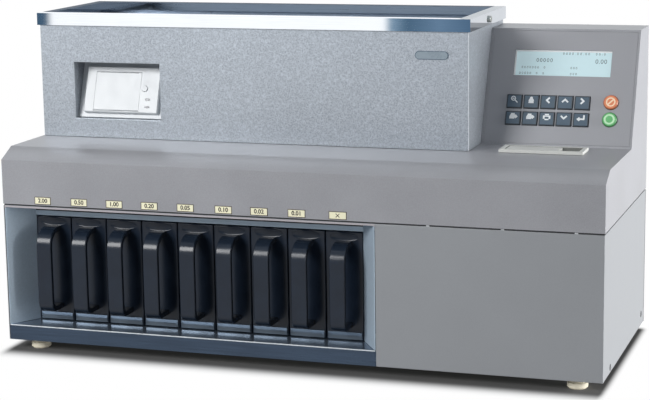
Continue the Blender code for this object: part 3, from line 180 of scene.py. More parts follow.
def add_figures(name, text, size, centre, low, high, place, spacing=1.0, weight=0.0):
    """Figures as a thin mesh, centred on a point of a plane."""
    clear_selection()
    bpy.ops.object.text_add(location=(centre[0], centre[1], (low + high) / 2))
    item = named(name)
    item.data.body = text
    item.data.size = size
    item.data.extrude = (high - low) / 2
    item.data.offset = weight
    item.data.space_character = spacing
    item.data.resolution_u = 4
    item.data.align_x = "CENTER"
    item.data.align_y = "CENTER"
    take(item)
    bpy.ops.object.convert(target="MESH")
    item = named(name)
    return put(item, place)


def select_where(item, faces=None, edges=None):
    """Select, in edit mode, the faces or edges that pass a test of place and direction."""
    mesh = bmesh.from_edit_mesh(item.data)
    bpy.ops.mesh.select_all(action="DESELECT")
    for face in mesh.faces:
        face.select_set(bool(faces) and faces(face.calc_center_median(), face.normal))
    if edges:
        for edge in mesh.edges:
            first, second = (v.co for v in edge.verts)
            edge.select_set(edges((first + second) / 2, (second - first).normalized()))
    bmesh.update_edit_mesh(item.data)
    return item


def start_shaping(item, select="FACE"):
    take(item)
    bpy.ops.object.mode_set(mode="EDIT")
    bpy.ops.mesh.select_mode(type=select)


def end_shaping():
    bpy.ops.object.mode_set(mode="OBJECT")


def soften(item, width, segments=2, angle=30):
    """Round the sharp edges a little, with shading that leaves the flats flat."""
    take(item)
    bevel = item.modifiers.new("soft_edges", "BEVEL")
    bevel.width = width
    bevel.segments = segments
    bevel.limit_method = "ANGLE"
    bevel.angle_limit = math.radians(angle)
    bevel.miter_outer = "MITER_ARC"
    bpy.ops.object.modifier_apply(modifier=bevel.name)
    return shade(item)


def shade(item):
    take(item)
    bpy.ops.object.shade_smooth_by_angle(angle=SMOOTH_ANGLE)
    weighted = item.modifiers.new("flat_faces", "WEIGHTED_NORMAL")
    weighted.keep_sharp = True
    bpy.ops.object.modifier_apply(modifier=weighted.name)
    return item


def dressed(node, name, width=0.0006, segments=2, angle=30, whole_faces=True):
    """A merged copy of a CAD node with its edges softened."""
    item = bpy.data.objects.new(name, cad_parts[node].data.copy())
    bpy.context.scene.collection.objects.link(item)
    item.data.name = name
    item.data.materials.clear()
    take(item)
    bpy.ops.object.mode_set(mode="EDIT")
    bpy.ops.mesh.select_all(action="SELECT")
    bpy.ops.mesh.customdata_custom_splitnormals_clear()
    bpy.ops.mesh.remove_doubles(threshold=MERGE)
    if whole_faces:
        bpy.ops.mesh.dissolve_limited(angle_limit=FLAT_ANGLE)
    bpy.ops.object.mode_set(mode="OBJECT")
    return soften(item, width, segments, angle) if width else shade(item)


def widen(item, middle, share):
    """Stretch a piece sideways about a middle line."""
    item.matrix_world = Matrix.Translation((middle, 0, 0)) @ Matrix.Diagonal((share, 1, 1, 1)) @ Matrix.Translation(
        (-middle, 0, 0)
    )
    return fix_place(item)


def unite(name, items):
    """Join objects that are one piece in the real thing, and name the result."""
    clear_selection()
    for item in items:
        item.select_set(True)
    bpy.context.view_layer.objects.active = items[0]
    bpy.ops.object.join()
    return fix_place(named(name))


def repeated(item, name, shift):
    """A copy of a piece, with its own mesh, moved by a shift."""
    copy = item.copy()
    copy.data = item.data.copy()
    bpy.context.scene.collection.objects.link(copy)
    copy.name = name
    copy.data.name = name
    copy.location = Vector(shift)
    return fix_place(copy)


def settle(item, material, body, slot, *nodes):
    """Give a finished piece its material, its body and the CAD nodes it stands for; the slot is not used."""
    if material:
        item.data.materials.clear()
        item.data.materials.append(material)
    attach(item, body)
    if nodes:
        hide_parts(*nodes)
    return item


def repaint(node, material):
    """A better material on a CAD node whose shape stays."""
    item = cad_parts[node]
    item.data.materials.clear()
    item.data.materials.append(material)


def trim(item, place, outwards):
    """Cut a thin layer off a flat side, so that what sits there stays within the counter's size."""
    start_shaping(item)
    bpy.ops.mesh.select_all(action="SELECT")
    bpy.ops.mesh.bisect(plane_co=place, plane_no=outwards, use_fill=True, clear_outer=True)
    end_shaping()
    return item


def part_line(item, place, across):
    """Add an edge loop round a flat piece, where its material changes."""
    start_shaping(item)
    bpy.ops.mesh.select_all(action="SELECT")
    bpy.ops.mesh.bisect(plane_co=place, plane_no=across)
    end_shaping()


def box_in(node, place):
    """The lowest and highest corners of a CAD node in a plane of its own."""
    back = place.inverted()
    points = [back @ vertex.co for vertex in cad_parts[node].data.vertices]
    low = Vector([min(p[i] for p in points) for i in range(3)])
    high = Vector([max(p[i] for p in points) for i in range(3)])
    return low, high


# Node groups that several finishes share

def new_group(name, inputs, outputs):
    """An empty shader node group with named value, colour or vector sockets."""
    group = bpy.data.node_groups.new(name, "ShaderNodeTree")
    for socket, kind, value in inputs:
        made = group.interface.new_socket(name=socket, in_out="INPUT", socket_type=kind)
        if value is not None:
            made.default_value = value
    for socket, kind in outputs:
        group.interface.new_socket(name=socket, in_out="OUTPUT", socket_type=kind)
    return group, group.nodes.new("NodeGroupInput"), group.nodes.new("NodeGroupOutput")


def add_node(tree, kind, links=(), **values):
    """A node with its options, its input values and the sockets that feed it."""
    node = tree.nodes.new(kind)
    for key, value in values.items():
        if hasattr(node, key):
            setattr(node, key, value)
        else:
            node.inputs[key.replace("_", " ")].default_value = value
    for socket, source in links:
        tree.links.new(source, node.inputs[socket])
    return node


def add_math(tree, operation, first, second=None):
    """A Math node between two sockets or numbers."""
    node = tree.nodes.new("ShaderNodeMath")
    node.operation = operation
    for index, value in enumerate((first, second)):
        if isinstance(value, (int, float)):
            node.inputs[index].default_value = value
        elif value is not None:
            tree.links.new(value, node.inputs[index])
    return node.outputs[0]


def fill_ramp(node, stops):
    """Give a Color Ramp its colours, from place and colour pairs."""
    elements = node.color_ramp.elements
    elements[0].position, elements[1].position = stops[0][0], stops[-1][0]
    for position, _ in stops[1:-1]:
        elements.new(position)
    for element, (_, colour) in zip(elements, stops):
        element.color = (*colour, 1)


TEXTURE_SOCKETS = (
    [("Vector", "NodeSocketVector", None), ("Scale", "NodeSocketFloat", 500.0)],
    [("Tone", "NodeSocketFloat"), ("Height", "NodeSocketFloat")],
)


def build_hammered():
    """Hammered silver paint: small soft dimples with bright flecks between them."""
    group, given, out = new_group("hammered_texture", *TEXTURE_SOCKETS)
    vector, scale = given.outputs["Vector"], given.outputs["Scale"]
    cells = add_node(group, "ShaderNodeTexVoronoi", [("Vector", vector), ("Scale", scale)], feature="SMOOTH_F1")
    flecks = add_node(
        group,
        "ShaderNodeTexNoise",
        [("Vector", vector), ("Scale", add_math(group, "MULTIPLY", scale, 1.7))],
        Detail=3.0,
        Roughness=0.65,
    )
    drift = add_node(
        group,
        "ShaderNodeTexNoise",
        [("Vector", vector), ("Scale", add_math(group, "MULTIPLY", scale, 0.012))],
        Detail=2.0,
    )
    mixed = add_math(group, "MULTIPLY", flecks.outputs["Fac"], 0.65)
    mixed = add_math(group, "ADD", mixed, add_math(group, "MULTIPLY", cells.outputs["Distance"], 0.25))
    mixed = add_math(group, "ADD", mixed, add_math(group, "MULTIPLY", drift.outputs["Fac"], 0.12))
    group.links.new(mixed, out.inputs["Tone"])
    group.links.new(cells.outputs["Distance"], out.inputs["Height"])
    return group


def build_speckled():
    """Fine powder coat: a tight grain with a slow drift of tone over the panel."""
    group, given, out = new_group("speckled_texture", *TEXTURE_SOCKETS)
    vector, scale = given.outputs["Vector"], given.outputs["Scale"]
    grain = add_node(
        group, "ShaderNodeTexNoise", [("Vector", vector), ("Scale", scale)], Detail=4.0, Roughness=0.7
    )
    drift = add_node(
        group,
        "ShaderNodeTexNoise",
        [("Vector", vector), ("Scale", add_math(group, "MULTIPLY", scale, 0.008))],
        Detail=2.0,
    )
    mixed = add_math(group, "MULTIPLY", grain.outputs["Fac"], 0.75)
    mixed = add_math(group, "ADD", mixed, add_math(group, "MULTIPLY", drift.outputs["Fac"], 0.25))
    group.links.new(mixed, out.inputs["Tone"])
    group.links.new(grain.outputs["Fac"], out.inputs["Height"])
    return group


def build_brushed():
    """Rolled or brushed metal: long fine lines and cloudy patches."""
    group, given, out = new_group("brushed_texture", *TEXTURE_SOCKETS)
    vector, scale = given.outputs["Vector"], given.outputs["Scale"]
    stretched = add_node(group, "ShaderNodeMapping", [("Vector", vector)], Scale=(0.035, 1.0, 1.0))
    lines = add_node(
        group,
        "ShaderNodeTexNoise",
        [("Vector", stretched.outputs["Vector"]), ("Scale", scale)],
        Detail=5.0,
        Roughness=0.6,
    )
    clouds = add_node(
        group,
        "ShaderNodeTexNoise",
        [("Vector", vector), ("Scale", add_math(group, "MULTIPLY", scale, 0.02))],
        Detail=3.0,
    )
    mixed = add_math(group, "MULTIPLY", lines.outputs["Fac"], 0.6)
    mixed = add_math(group, "ADD", mixed, add_math(group, "MULTIPLY", clouds.outputs["Fac"], 0.4))
    group.links.new(mixed, out.inputs["Tone"])
    group.links.new(lines.outputs["Fac"], out.inputs["Height"])
    return group


def build_moulded():
    """Moulded plastic or rubber: a barely seen spark-eroded grain and soft handling marks."""
    group, given, out = new_group("moulded_texture", *TEXTURE_SOCKETS)
    vector, scale = given.outputs["Vector"], given.outputs["Scale"]
    grain = add_node(
        group, "ShaderNodeTexNoise", [("Vector", vector), ("Scale", scale)], Detail=2.0, Roughness=0.5
    )
    marks = add_node(
        group,
        "ShaderNodeTexNoise",
        [("Vector", vector), ("Scale", add_math(group, "MULTIPLY", scale, 0.03))],
        Detail=4.0,
        Roughness=0.55,
    )
    mixed = add_math(group, "MULTIPLY", grain.outputs["Fac"], 0.3)
    mixed = add_math(group, "ADD", mixed, add_math(group, "MULTIPLY", marks.outputs["Fac"], 0.7))
    group.links.new(mixed, out.inputs["Tone"])
    group.links.new(grain.outputs["Fac"], out.inputs["Height"])
    return group


def build_settled_dust():
    """A mask of the thin dust that lies on faces that look up, thickest in soft patches."""
    group, given, out = new_group(
        "settled_dust",
        [("Vector", "NodeSocketVector", None), ("Amount", "NodeSocketFloat", 0.1)],
        [("Mask", "NodeSocketFloat")],
    )
    normal = add_node(group, "ShaderNodeNewGeometry")
    parts = add_node(group, "ShaderNodeSeparateXYZ", [("Vector", normal.outputs["Normal"])])
    patches = add_node(
        group, "ShaderNodeTexNoise", [("Vector", given.outputs["Vector"])], Scale=14.0, Detail=5.0, Roughness=0.7
    )
    upward = add_math(group, "MAXIMUM", parts.outputs["Z"], 0.0)
    lying = add_math(group, "MULTIPLY", upward, patches.outputs["Fac"])
    group.links.new(add_math(group, "MULTIPLY", lying, given.outputs["Amount"]), out.inputs["Mask"])
    return group


GROUP_BUILDERS = {
    "hammered": build_hammered,
    "speckled": build_speckled,
    "brushed": build_brushed,
    "moulded": build_moulded,
    "dust": build_settled_dust,
}
groups = {}


def group_of(kind):
    if kind not in groups:
        groups[kind] = GROUP_BUILDERS[kind]()
    return groups[kind]


# Finishes

finishes = {}


def srgb(red, green, blue):
    """A colour read off a screen, as the linear values that Blender wants."""
    parts = (red / 255, green / 255, blue / 255)
    return tuple(p / 12.92 if p <= 0.04045 else ((p + 0.055) / 1.055) ** 2.4 for p in parts)


def shaded(colour, share):
    return tuple(min(1.0, part * share) for part in colour[:3])


def make_finish(
    name,
    colour,
    texture="moulded",
    scale=900.0,
    contrast=0.10,
    roughness=(0.35, 0.5),
    bump=0.00001,
    metallic=0.0,
    coat=0.0,
    specular=0.5,
    dust=0.0,
    tint=None,
    glow=0.0,
):
    """A procedural finish: a shared texture drives its colour, its roughness and its relief."""
    if name in finishes:
        return finishes[name]
    material = bpy.data.materials.new(name)
    material.use_nodes = True
    tree = material.node_tree
    tree.nodes.clear()
    out = tree.nodes.new("ShaderNodeOutputMaterial")
    shader = tree.nodes.new("ShaderNodeBsdfPrincipled")
    tree.links.new(shader.outputs["BSDF"], out.inputs["Surface"])
    place = tree.nodes.new("ShaderNodeTexCoord").outputs["Object"]
    pattern = tree.nodes.new("ShaderNodeGroup")
    pattern.node_tree = group_of(texture)
    pattern.inputs["Scale"].default_value = scale
    tree.links.new(place, pattern.inputs["Vector"])
    tones = tree.nodes.new("ShaderNodeValToRGB")
    tones.color_ramp.elements[0].position = 0.3
    tones.color_ramp.elements[0].color = (*shaded(colour, 1 - contrast), 1)
    tones.color_ramp.elements[1].position = 0.7
    tones.color_ramp.elements[1].color = (*shaded(tint or colour, 1 + contrast), 1)
    tree.links.new(pattern.outputs["Tone"], tones.inputs["Fac"])
    colour_out = tones.outputs["Color"]
    if dust:
        settled = tree.nodes.new("ShaderNodeGroup")
        settled.node_tree = group_of("dust")
        settled.inputs["Amount"].default_value = dust
        tree.links.new(place, settled.inputs["Vector"])
        mix = tree.nodes.new("ShaderNodeMix")
        mix.data_type = "RGBA"
        mix.inputs["B"].default_value = (0.55, 0.54, 0.52, 1)
        tree.links.new(settled.outputs["Mask"], mix.inputs["Factor"])
        tree.links.new(colour_out, mix.inputs["A"])
        colour_out = mix.outputs["Result"]
    tree.links.new(colour_out, shader.inputs["Base Color"])
    polish = tree.nodes.new("ShaderNodeMapRange")
    polish.inputs["From Min"].default_value = 0.3
    polish.inputs["From Max"].default_value = 0.7
    polish.inputs["To Min"].default_value = roughness[0]
    polish.inputs["To Max"].default_value = roughness[1]
    tree.links.new(pattern.outputs["Tone"], polish.inputs["Value"])
    tree.links.new(polish.outputs["Result"], shader.inputs["Roughness"])
    relief = tree.nodes.new("ShaderNodeBump")
    relief.inputs["Distance"].default_value = bump
    tree.links.new(pattern.outputs["Height"], relief.inputs["Height"])
    tree.links.new(relief.outputs["Normal"], shader.inputs["Normal"])
    shader.inputs["Metallic"].default_value = metallic
    shader.inputs["Coat Weight"].default_value = coat
    shader.inputs["Coat Roughness"].default_value = 0.08
    shader.inputs["Specular IOR Level"].default_value = specular
    if glow:
        tree.links.new(colour_out, shader.inputs["Emission Color"])
        shader.inputs["Emission Strength"].default_value = glow
    finishes[name] = material
    return material


def look():
    return bpy.context.scene.counter_paint


def cover_paint():
    return make_finish(
        "grey_cover_paint", look().cover, "speckled", 1500.0, 0.20, (0.30, 0.42), 0.00003, dust=0.05
    )


def cabinet_paint():
    return make_finish(
        "smooth_cabinet_paint", look().cabinet, "speckled", 1800.0, 0.07, (0.34, 0.46), 0.000012, dust=0.05
    )


def hopper_paint():
    return make_finish(
        "hammered_silver_paint",
        look().hopper,
        "hammered",
        400.0,
        0.34,
        (0.30, 0.48),
        0.00012,
        metallic=0.6,
    )


def mirror_steel():
    return make_finish(
        "mirror_steel", srgb(222, 226, 230), "brushed", 700.0, 0.05, (0.012, 0.03), 0.0000010, metallic=1.0
    )


def bay_steel():
    return make_finish(
        "blue_bay_steel", look().bay, "brushed", 420.0, 0.10, (0.42, 0.55), 0.000003, metallic=0.25
    )


# Pale grey steel for painted highlights: the right top faces of the hopper's rim and the strip along the sill's top
# edge.
def painted_highlight_steel():
    return make_finish(
        "painted_highlight_steel", srgb(214, 218, 222), "brushed", 500.0, 0.05, (0.35, 0.5), 0.000002, metallic=0.2
    )


# Dark slate for a painted dark reflection on the hopper's rim: its left and back top faces and the rounding along its
# front top.
def rim_painted_dark_reflection():
    return make_finish(
        "rim_painted_dark_reflection", srgb(84, 96, 110), "brushed", 500.0, 0.06, (0.5, 0.65), 0.000002, specular=0.15
    )


def pale_edge_paint():
    return make_finish("pale_edge_paint", srgb(214, 217, 222), "moulded", 1200.0, 0.05, (0.3, 0.4), 0.00001)


def badge_enamel():
    return make_finish("badge_enamel", srgb(146, 160, 170), "moulded", 2400.0, 0.06, (0.22, 0.32), 0.000003, coat=0.4)


def slate_enamel():
    return make_finish("slate_enamel", srgb(88, 108, 124), "moulded", 2400.0, 0.06, (0.22, 0.32), 0.000003, coat=0.4)


def floor_steel():
    return make_finish(
        "bay_floor_steel", srgb(122, 136, 152), "brushed", 300.0, 0.34, (0.10, 0.20), 0.000003, metallic=0.7
    )


# Pale steel for painted highlights: the rounded top edges of the hopper's rim at the left and back, and the bay's front
# flange.
def highlight_edge_steel():
    return make_finish(
        "painted_highlight_edge", srgb(172, 168, 172), "brushed", 600.0, 0.06, (0.40, 0.55), 0.000003, metallic=0.2
    )


# Dark navy steel for the sill's front: a painted dark reflection of a dark floor in front of the counter.
def sill_painted_reflection_steel():
    return make_finish(
        "sill_painted_dark_reflection", look().sill, "brushed", 300.0, 0.30, (0.12, 0.26), 0.000003, metallic=0.7
    )


def liner_steel():
    return make_finish(
        "hopper_liner_steel", look().liner, "brushed", 350.0, 0.14, (0.22, 0.40), 0.000004, metallic=0.8
    )


def plain_steel():
    return make_finish(
        "brushed_steel", srgb(176, 180, 184), "brushed", 600.0, 0.10, (0.22, 0.42), 0.000004, metallic=1.0
    )


def zinc_steel():
    return make_finish(
        "zinc_plated_steel", srgb(168, 170, 166), "hammered", 260.0, 0.10, (0.30, 0.45), 0.000006, metallic=0.9
    )


def box_plastic():
    return make_finish(
        "gloss_black_plastic", look().box, "moulded", 1400.0, 0.16, (0.16, 0.27), 0.000004, specular=0.28
    )


# A grey band at the foot of each box: partly its own colour, partly a painted highlight for light caught along the
# band.
def lip_plastic():
    return make_finish(
        "grey_lip_plastic", srgb(84, 94, 104), "brushed", 500.0, 0.16, (0.18, 0.30), 0.000004, metallic=0.5
    )


def matt_black():
    return make_finish("matt_black_plastic", srgb(34, 36, 40), "moulded", 1600.0, 0.14, (0.45, 0.62), 0.00001)


def white_plastic():
    return make_finish(
        "white_plastic", srgb(206, 210, 213), "moulded", 1500.0, 0.03, (0.30, 0.42), 0.000006
    )


def latch_plastic():
    return make_finish(
        "latch_plastic", srgb(214, 215, 211), "moulded", 1500.0, 0.05, (0.34, 0.48), 0.00001, dust=0.05
    )


# A darker grey of the latch plastic for the well inside its bezel: painted shade in the recess.
def latch_well_painted_shade():
    return make_finish("latch_well_painted_shade", srgb(128, 130, 127), "moulded", 1500.0, 0.06, (0.4, 0.5), 0.00001)


def key_plastic():
    return make_finish(
        "slate_key_plastic", look().key, "moulded", 2200.0, 0.10, (0.34, 0.46), 0.000008
    )


# A dark copy of the key plastic for the keys' rims and stems: painted shade, where the gaps round the keys look dark.
def key_painted_shade_plastic():
    return make_finish(
        "key_rim_painted_shade", shaded(look().key, 0.22), "moulded", 2200.0, 0.12, (0.30, 0.42), 0.000008
    )


def stop_plastic():
    return make_finish("orange_plastic", look().stop, "moulded", 2000.0, 0.06, (0.28, 0.4), 0.000006)


def start_plastic():
    return make_finish("green_plastic", look().start, "moulded", 2000.0, 0.06, (0.28, 0.4), 0.000006)


def painted_shade_edge_plastic(name, colour):
    """The rolled edge of a coloured button, in a darker copy of its colour: painted shade."""
    return make_finish(name, shaded(colour, 0.62), "moulded", 2000.0, 0.06, (0.28, 0.4), 0.000006)


# White for the keys' printed signs, and for the painted highlight at the screen's left and top edges.
def white_ink_and_painted_highlight():
    return make_finish("white_ink_and_painted_highlight", srgb(232, 236, 238), "moulded", 2600.0, 0.04, (0.45, 0.6), 0.000004)


def dark_ink():
    return make_finish("dark_ink", srgb(40, 34, 28), "moulded", 2600.0, 0.12, (0.5, 0.65), 0.000004)


def lcd_ink():
    return make_finish("lcd_figures", srgb(96, 116, 122), "moulded", 3000.0, 0.10, (0.2, 0.3), 0.0)


def cream_rubber():
    return make_finish("cream_rubber", srgb(238, 230, 208), "moulded", 1200.0, 0.08, (0.5, 0.66), 0.00002)


# Dark rubber for the seam gasket, and for the painted shadow strip under the bay's front flange.
def dark_rubber():
    return make_finish("dark_rubber", srgb(30, 31, 33), "moulded", 1200.0, 0.2, (0.6, 0.8), 0.00002)


def plate_cream():
    return make_finish("cream_plate", srgb(250, 246, 214), "speckled", 2400.0, 0.04, (0.4, 0.5), 0.000004)


def plate_frame():
    return make_finish("brown_plate_frame", srgb(70, 62, 50), "moulded", 2400.0, 0.1, (0.35, 0.45), 0.000004)


# Sizes and colours that a user would change

def colour_property(name, description, default):
    return bpy.props.FloatVectorProperty(
        name=name, description=description, default=default, subtype="COLOR", min=0.0, max=1.0
    )


def length_property(name, description, default):
    return bpy.props.FloatProperty(name=name, description=description, default=default, unit="LENGTH", min=0.0)


class CounterPaint(bpy.types.PropertyGroup):
    cover: colour_property("Cover paint", "Powder coat of the upper cover", srgb(156, 157, 162))
    cabinet: colour_property("Cabinet paint", "Smooth paint of the lower cabinet", srgb(150, 153, 157))
    hopper: colour_property("Hopper paint", "Hammered paint of the hopper", srgb(167, 173, 180))
    liner: colour_property("Hopper lining", "Steel inside the hopper", srgb(150, 162, 176))
    bay: colour_property("Bay steel", "Polished steel round the coin boxes", srgb(168, 184, 198))
    # The sill colour is a painted dark reflection on the front of the bay's sill.
    sill: colour_property("Sill steel", "Dark polished sill and floor of the bay", srgb(58, 72, 90))
    box: colour_property("Coin box plastic", "Boxes and their handles", srgb(28, 37, 50))
    key: colour_property("Key plastic", "The ten keys", srgb(66, 86, 102))
    stop: colour_property("Stop button", "The upper round button", srgb(228, 136, 94))
    start: colour_property("Start button", "The lower round button", srgb(104, 186, 116))


class CounterEdges(bpy.types.PropertyGroup):
    sheet: length_property("Sheet edges", "Rounding of the folded sheet panels", 0.6 * MM)
    handle: length_property("Handle edges", "Rounding of the box handles", 2.4 * MM)
    plastic: length_property("Plastic edges", "Rounding of the moulded parts", 0.5 * MM)
    steel: length_property("Steel edges", "Rounding of the bright steel", 0.4 * MM)


class CounterPlates(bpy.types.PropertyGroup):
    width: length_property("Plate width", "Width of a value plate", 23.8 * MM)
    height: length_property("Plate height", "Height of a value plate", 10.4 * MM)
    border: length_property("Plate border", "Width of the dark frame", 0.9 * MM)
    above: length_property("Plate level", "Height of the plates' lower edge above the cabinet's base", 188.2 * MM)
    figures: length_property("Figure size", "Height of the figures' body", 7.8 * MM)


class CounterScreen(bpy.types.PropertyGroup):
    glass: colour_property("Screen colour", "Lit colour of the display", srgb(188, 212, 217))
    # The screen edge is a painted highlight along the left and top of the glass.
    edge: length_property("Screen edge", "Bright strip at the left and top of the screen", 2.3 * MM)
    figures: length_property("Figure size", "Height of the large figures' body", 8.4 * MM)


class CounterSmallParts(bpy.types.PropertyGroup):
    screw: length_property("Screw head", "Radius of the case screws' heads", 4.5 * MM)
    badge_width: length_property("Badge width", "Width of the blank badge", 44.6 * MM)
    badge_height: length_property("Badge height", "Height of the blank badge", 11.0 * MM)
    # The button ring is a dark ring of painted shade in the gap round each button.
    ring: length_property("Button ring", "Width of the dark ring round a round button", 0.35 * MM)


class CounterStage(bpy.types.PropertyGroup):
    floor: length_property("Floor size", "Side of the square floor", 5.0)
    shadow_reach: length_property("Shadow reach", "Distance from the counter at which the floor is plain white", 0.055)
    lens: bpy.props.FloatProperty(
        name="Lens", description="Focal length of the camera in millimetres", default=103.14, min=20.0
    )
    key_light: bpy.props.FloatProperty(
        name="Key light", description="Power of the lamp on the right", default=102.0, min=0.0
    )
    front_light: bpy.props.FloatProperty(
        name="Front light", description="Power of the lamp at the front left", default=73.0, min=0.0
    )
    top_light: bpy.props.FloatProperty(
        name="Top light", description="Power of the lamp overhead", default=0.7, min=0.0
    )


# Operators

class CounterOperator:
    bl_options = {"REGISTER", "UNDO"}

    def execute(self, context):
        self.build(context.scene)
        return {"FINISHED"}


class COUNTER_OT_panels(CounterOperator, bpy.types.Operator):
    """Dress the folded panels of the lower cabinet and its chassis"""

    bl_idname = "counter.panels"
    bl_label = "Cabinet panels"

    def build(self, scene):
        edge = scene.counter_edges.sheet
        for node in ("left_side_panel", "right_cover", "rear_panel"):
            item = dressed(node, node + "_painted", 0)
            if node == "left_side_panel":
                trim(item, (CASE_LOW.x + HEAD_ROOM, 0, 0), (-1, 0, 0))
            elif node == "right_cover":
                trim(item, (CASE_HIGH.x - HEAD_ROOM, 0, 0), (1, 0, 0))
            soften(item, edge)
            settle(item, cabinet_paint(), "cabinet", "cover_paint", node)
        settle(dressed("chassis", "chassis_tray", edge), zinc_steel(), "cabinet", "zinc_steel", "chassis")
        repaint("seam_gasket", dark_rubber())
        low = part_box("right_cover")[0]
        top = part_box("right_cover")[1].z
        for number, along in enumerate((0.236, 0.563, 0.879), 1):
            x = low.x + (CASE_HIGH.x - low.x) * along
            bead = add_block(
                f"seam_bumper_{number}",
                (x - 2.2 * MM, FRONT + 0.5 * MM, top),
                (x + 2.2 * MM, FRONT + 3.0 * MM, top + 1.5 * MM),
            )
            settle(soften(bead, 0.4 * MM), white_plastic(), "cabinet", "white_plastic")


class COUNTER_OT_cover(CounterOperator, bpy.types.Operator):
    """Dress the upper cover, which lifts with the lid"""

    bl_idname = "counter.cover"
    bl_label = "Upper cover"

    def build(self, scene):
        edge = scene.counter_edges.sheet
        item = dressed("upper_cover", "upper_cover_painted", 0)
        trim(item, (0, FRONT + PLATE_ROOM, 0), (0, -1, 0))
        soften(item, edge)
        settle(item, cover_paint(), "lid", "lid_paint", "upper_cover")


class COUNTER_OT_hopper(CounterOperator, bpy.types.Operator):
    """Dress the hopper, its bright rim and its lining"""

    bl_idname = "counter.hopper"
    bl_label = "Hopper"

    def build(self, scene):
        edges = scene.counter_edges
        body = dressed("hopper_body", "hopper_body_hammered", edges.sheet, whole_faces=False)
        settle(body, hopper_paint(), "lid", "hopper_paint", "hopper_body")
        body.data.materials.append(pale_edge_paint())
        for face in body.data.polygons:
            if face.normal.x > 0.3 and face.normal.y < -0.3:
                face.material_index = 1
        rim = dressed("hopper_rim", "hopper_rim_polished", 0)
        low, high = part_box("hopper_rim")
        trim(rim, (low.x + HEAD_ROOM, 0, 0), (-1, 0, 0))
        flat = 16 * MM
        for x in (low.x + flat, high.x - flat):
            part_line(rim, (x, 0, 0), (1, 0, 0))
        for y in (low.y + flat, high.y - flat):
            part_line(rim, (0, y, 0), (0, 1, 0))
        soften(rim, 1.0 * MM, 3)
        settle(rim, mirror_steel(), "lid", "polished_steel", "hopper_rim")
        # The rim is one polished steel; these copies paint light on it: a painted highlight on its right top, a painted
        # dark reflection on its left and back top and front rounding, and a painted highlight on its rounded top edges
        # at the left and back.
        for material in (painted_highlight_steel(), rim_painted_dark_reflection(), highlight_edge_steel()):
            rim.data.materials.append(material)
        for face in rim.data.polygons:
            spot, normal = face.center, face.normal
            front, right = spot.y < low.y + flat, spot.x > high.x - flat
            if normal.z > 0.9:
                face.material_index = 1 if right else 0 if front else 2
            elif normal.z > 0.2 and spot.z > high.z - 1.2 * MM:
                face.material_index = 2 if front and normal.y < 0 else 0 if front or right else 3
        liner = dressed("hopper_liner", "hopper_lining", edges.steel)
        settle(liner, liner_steel(), "lid", "brushed_steel", "hopper_liner")
        inner_low, inner_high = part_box("hopper_liner")
        seam_x = inner_low.x + (inner_high.x - inner_low.x) * 0.289
        seam = add_block(
            "lining_seam",
            (seam_x - 0.5 * MM, inner_high.y - 2.2 * MM, inner_high.z - 70 * MM),
            (seam_x + 0.5 * MM, inner_high.y - 1.4 * MM, inner_high.z - 2 * MM),
        )
        settle(soften(seam, 0.2 * MM), plain_steel(), "lid", "brushed_steel")


class COUNTER_OT_badge(CounterOperator, bpy.types.Operator):
    """Add the blank badge on the front of the hopper"""

    bl_idname = "counter.badge"
    bl_label = "Blank badge"

    def build(self, scene):
        parts = scene.counter_small_parts
        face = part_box("hopper_body")[0].y
        left = CASE_LOW.x + 0.5390
        bottom = BASE + 0.3790
        size = Vector((parts.badge_width, parts.badge_height))
        outer = self.pill("badge_frame", size, 0.0, 0.9 * MM)
        inner = self.pill("badge_face", size - Vector((1.6, 1.6)) * MM, 0.8 * MM, 1.2 * MM)
        place = Matrix.Translation((left + size.x / 2, face, bottom + size.y / 2)) @ UPRIGHT_FRONT
        for item, material, slot in (
            (outer, slate_enamel(), "zinc_steel"),
            (inner, badge_enamel(), "brushed_steel"),
        ):
            settle(put(item, place), material, "lid", slot)

    @staticmethod
    def pill(name, size, low, high):
        """A flat plate with round ends, drawn out from a short block."""
        half = size.y / 2
        reach = size.x / 2 - half
        item = add_block(name, (-reach, -half, low), (reach, half, high))
        ends = [
            add_round(name + "_end", half, (side * reach, 0), low, high, SMALL_ROUND * 2) for side in (-1, 1)
        ]
        for end in ends:
            take(item)
            cutter = item.modifiers.new("round_end", "BOOLEAN")
            cutter.operation = "UNION"
            cutter.object = end
            bpy.ops.object.modifier_apply(modifier=cutter.name)
            bpy.data.objects.remove(end)
        return soften(item, 0.25 * MM, angle=50)


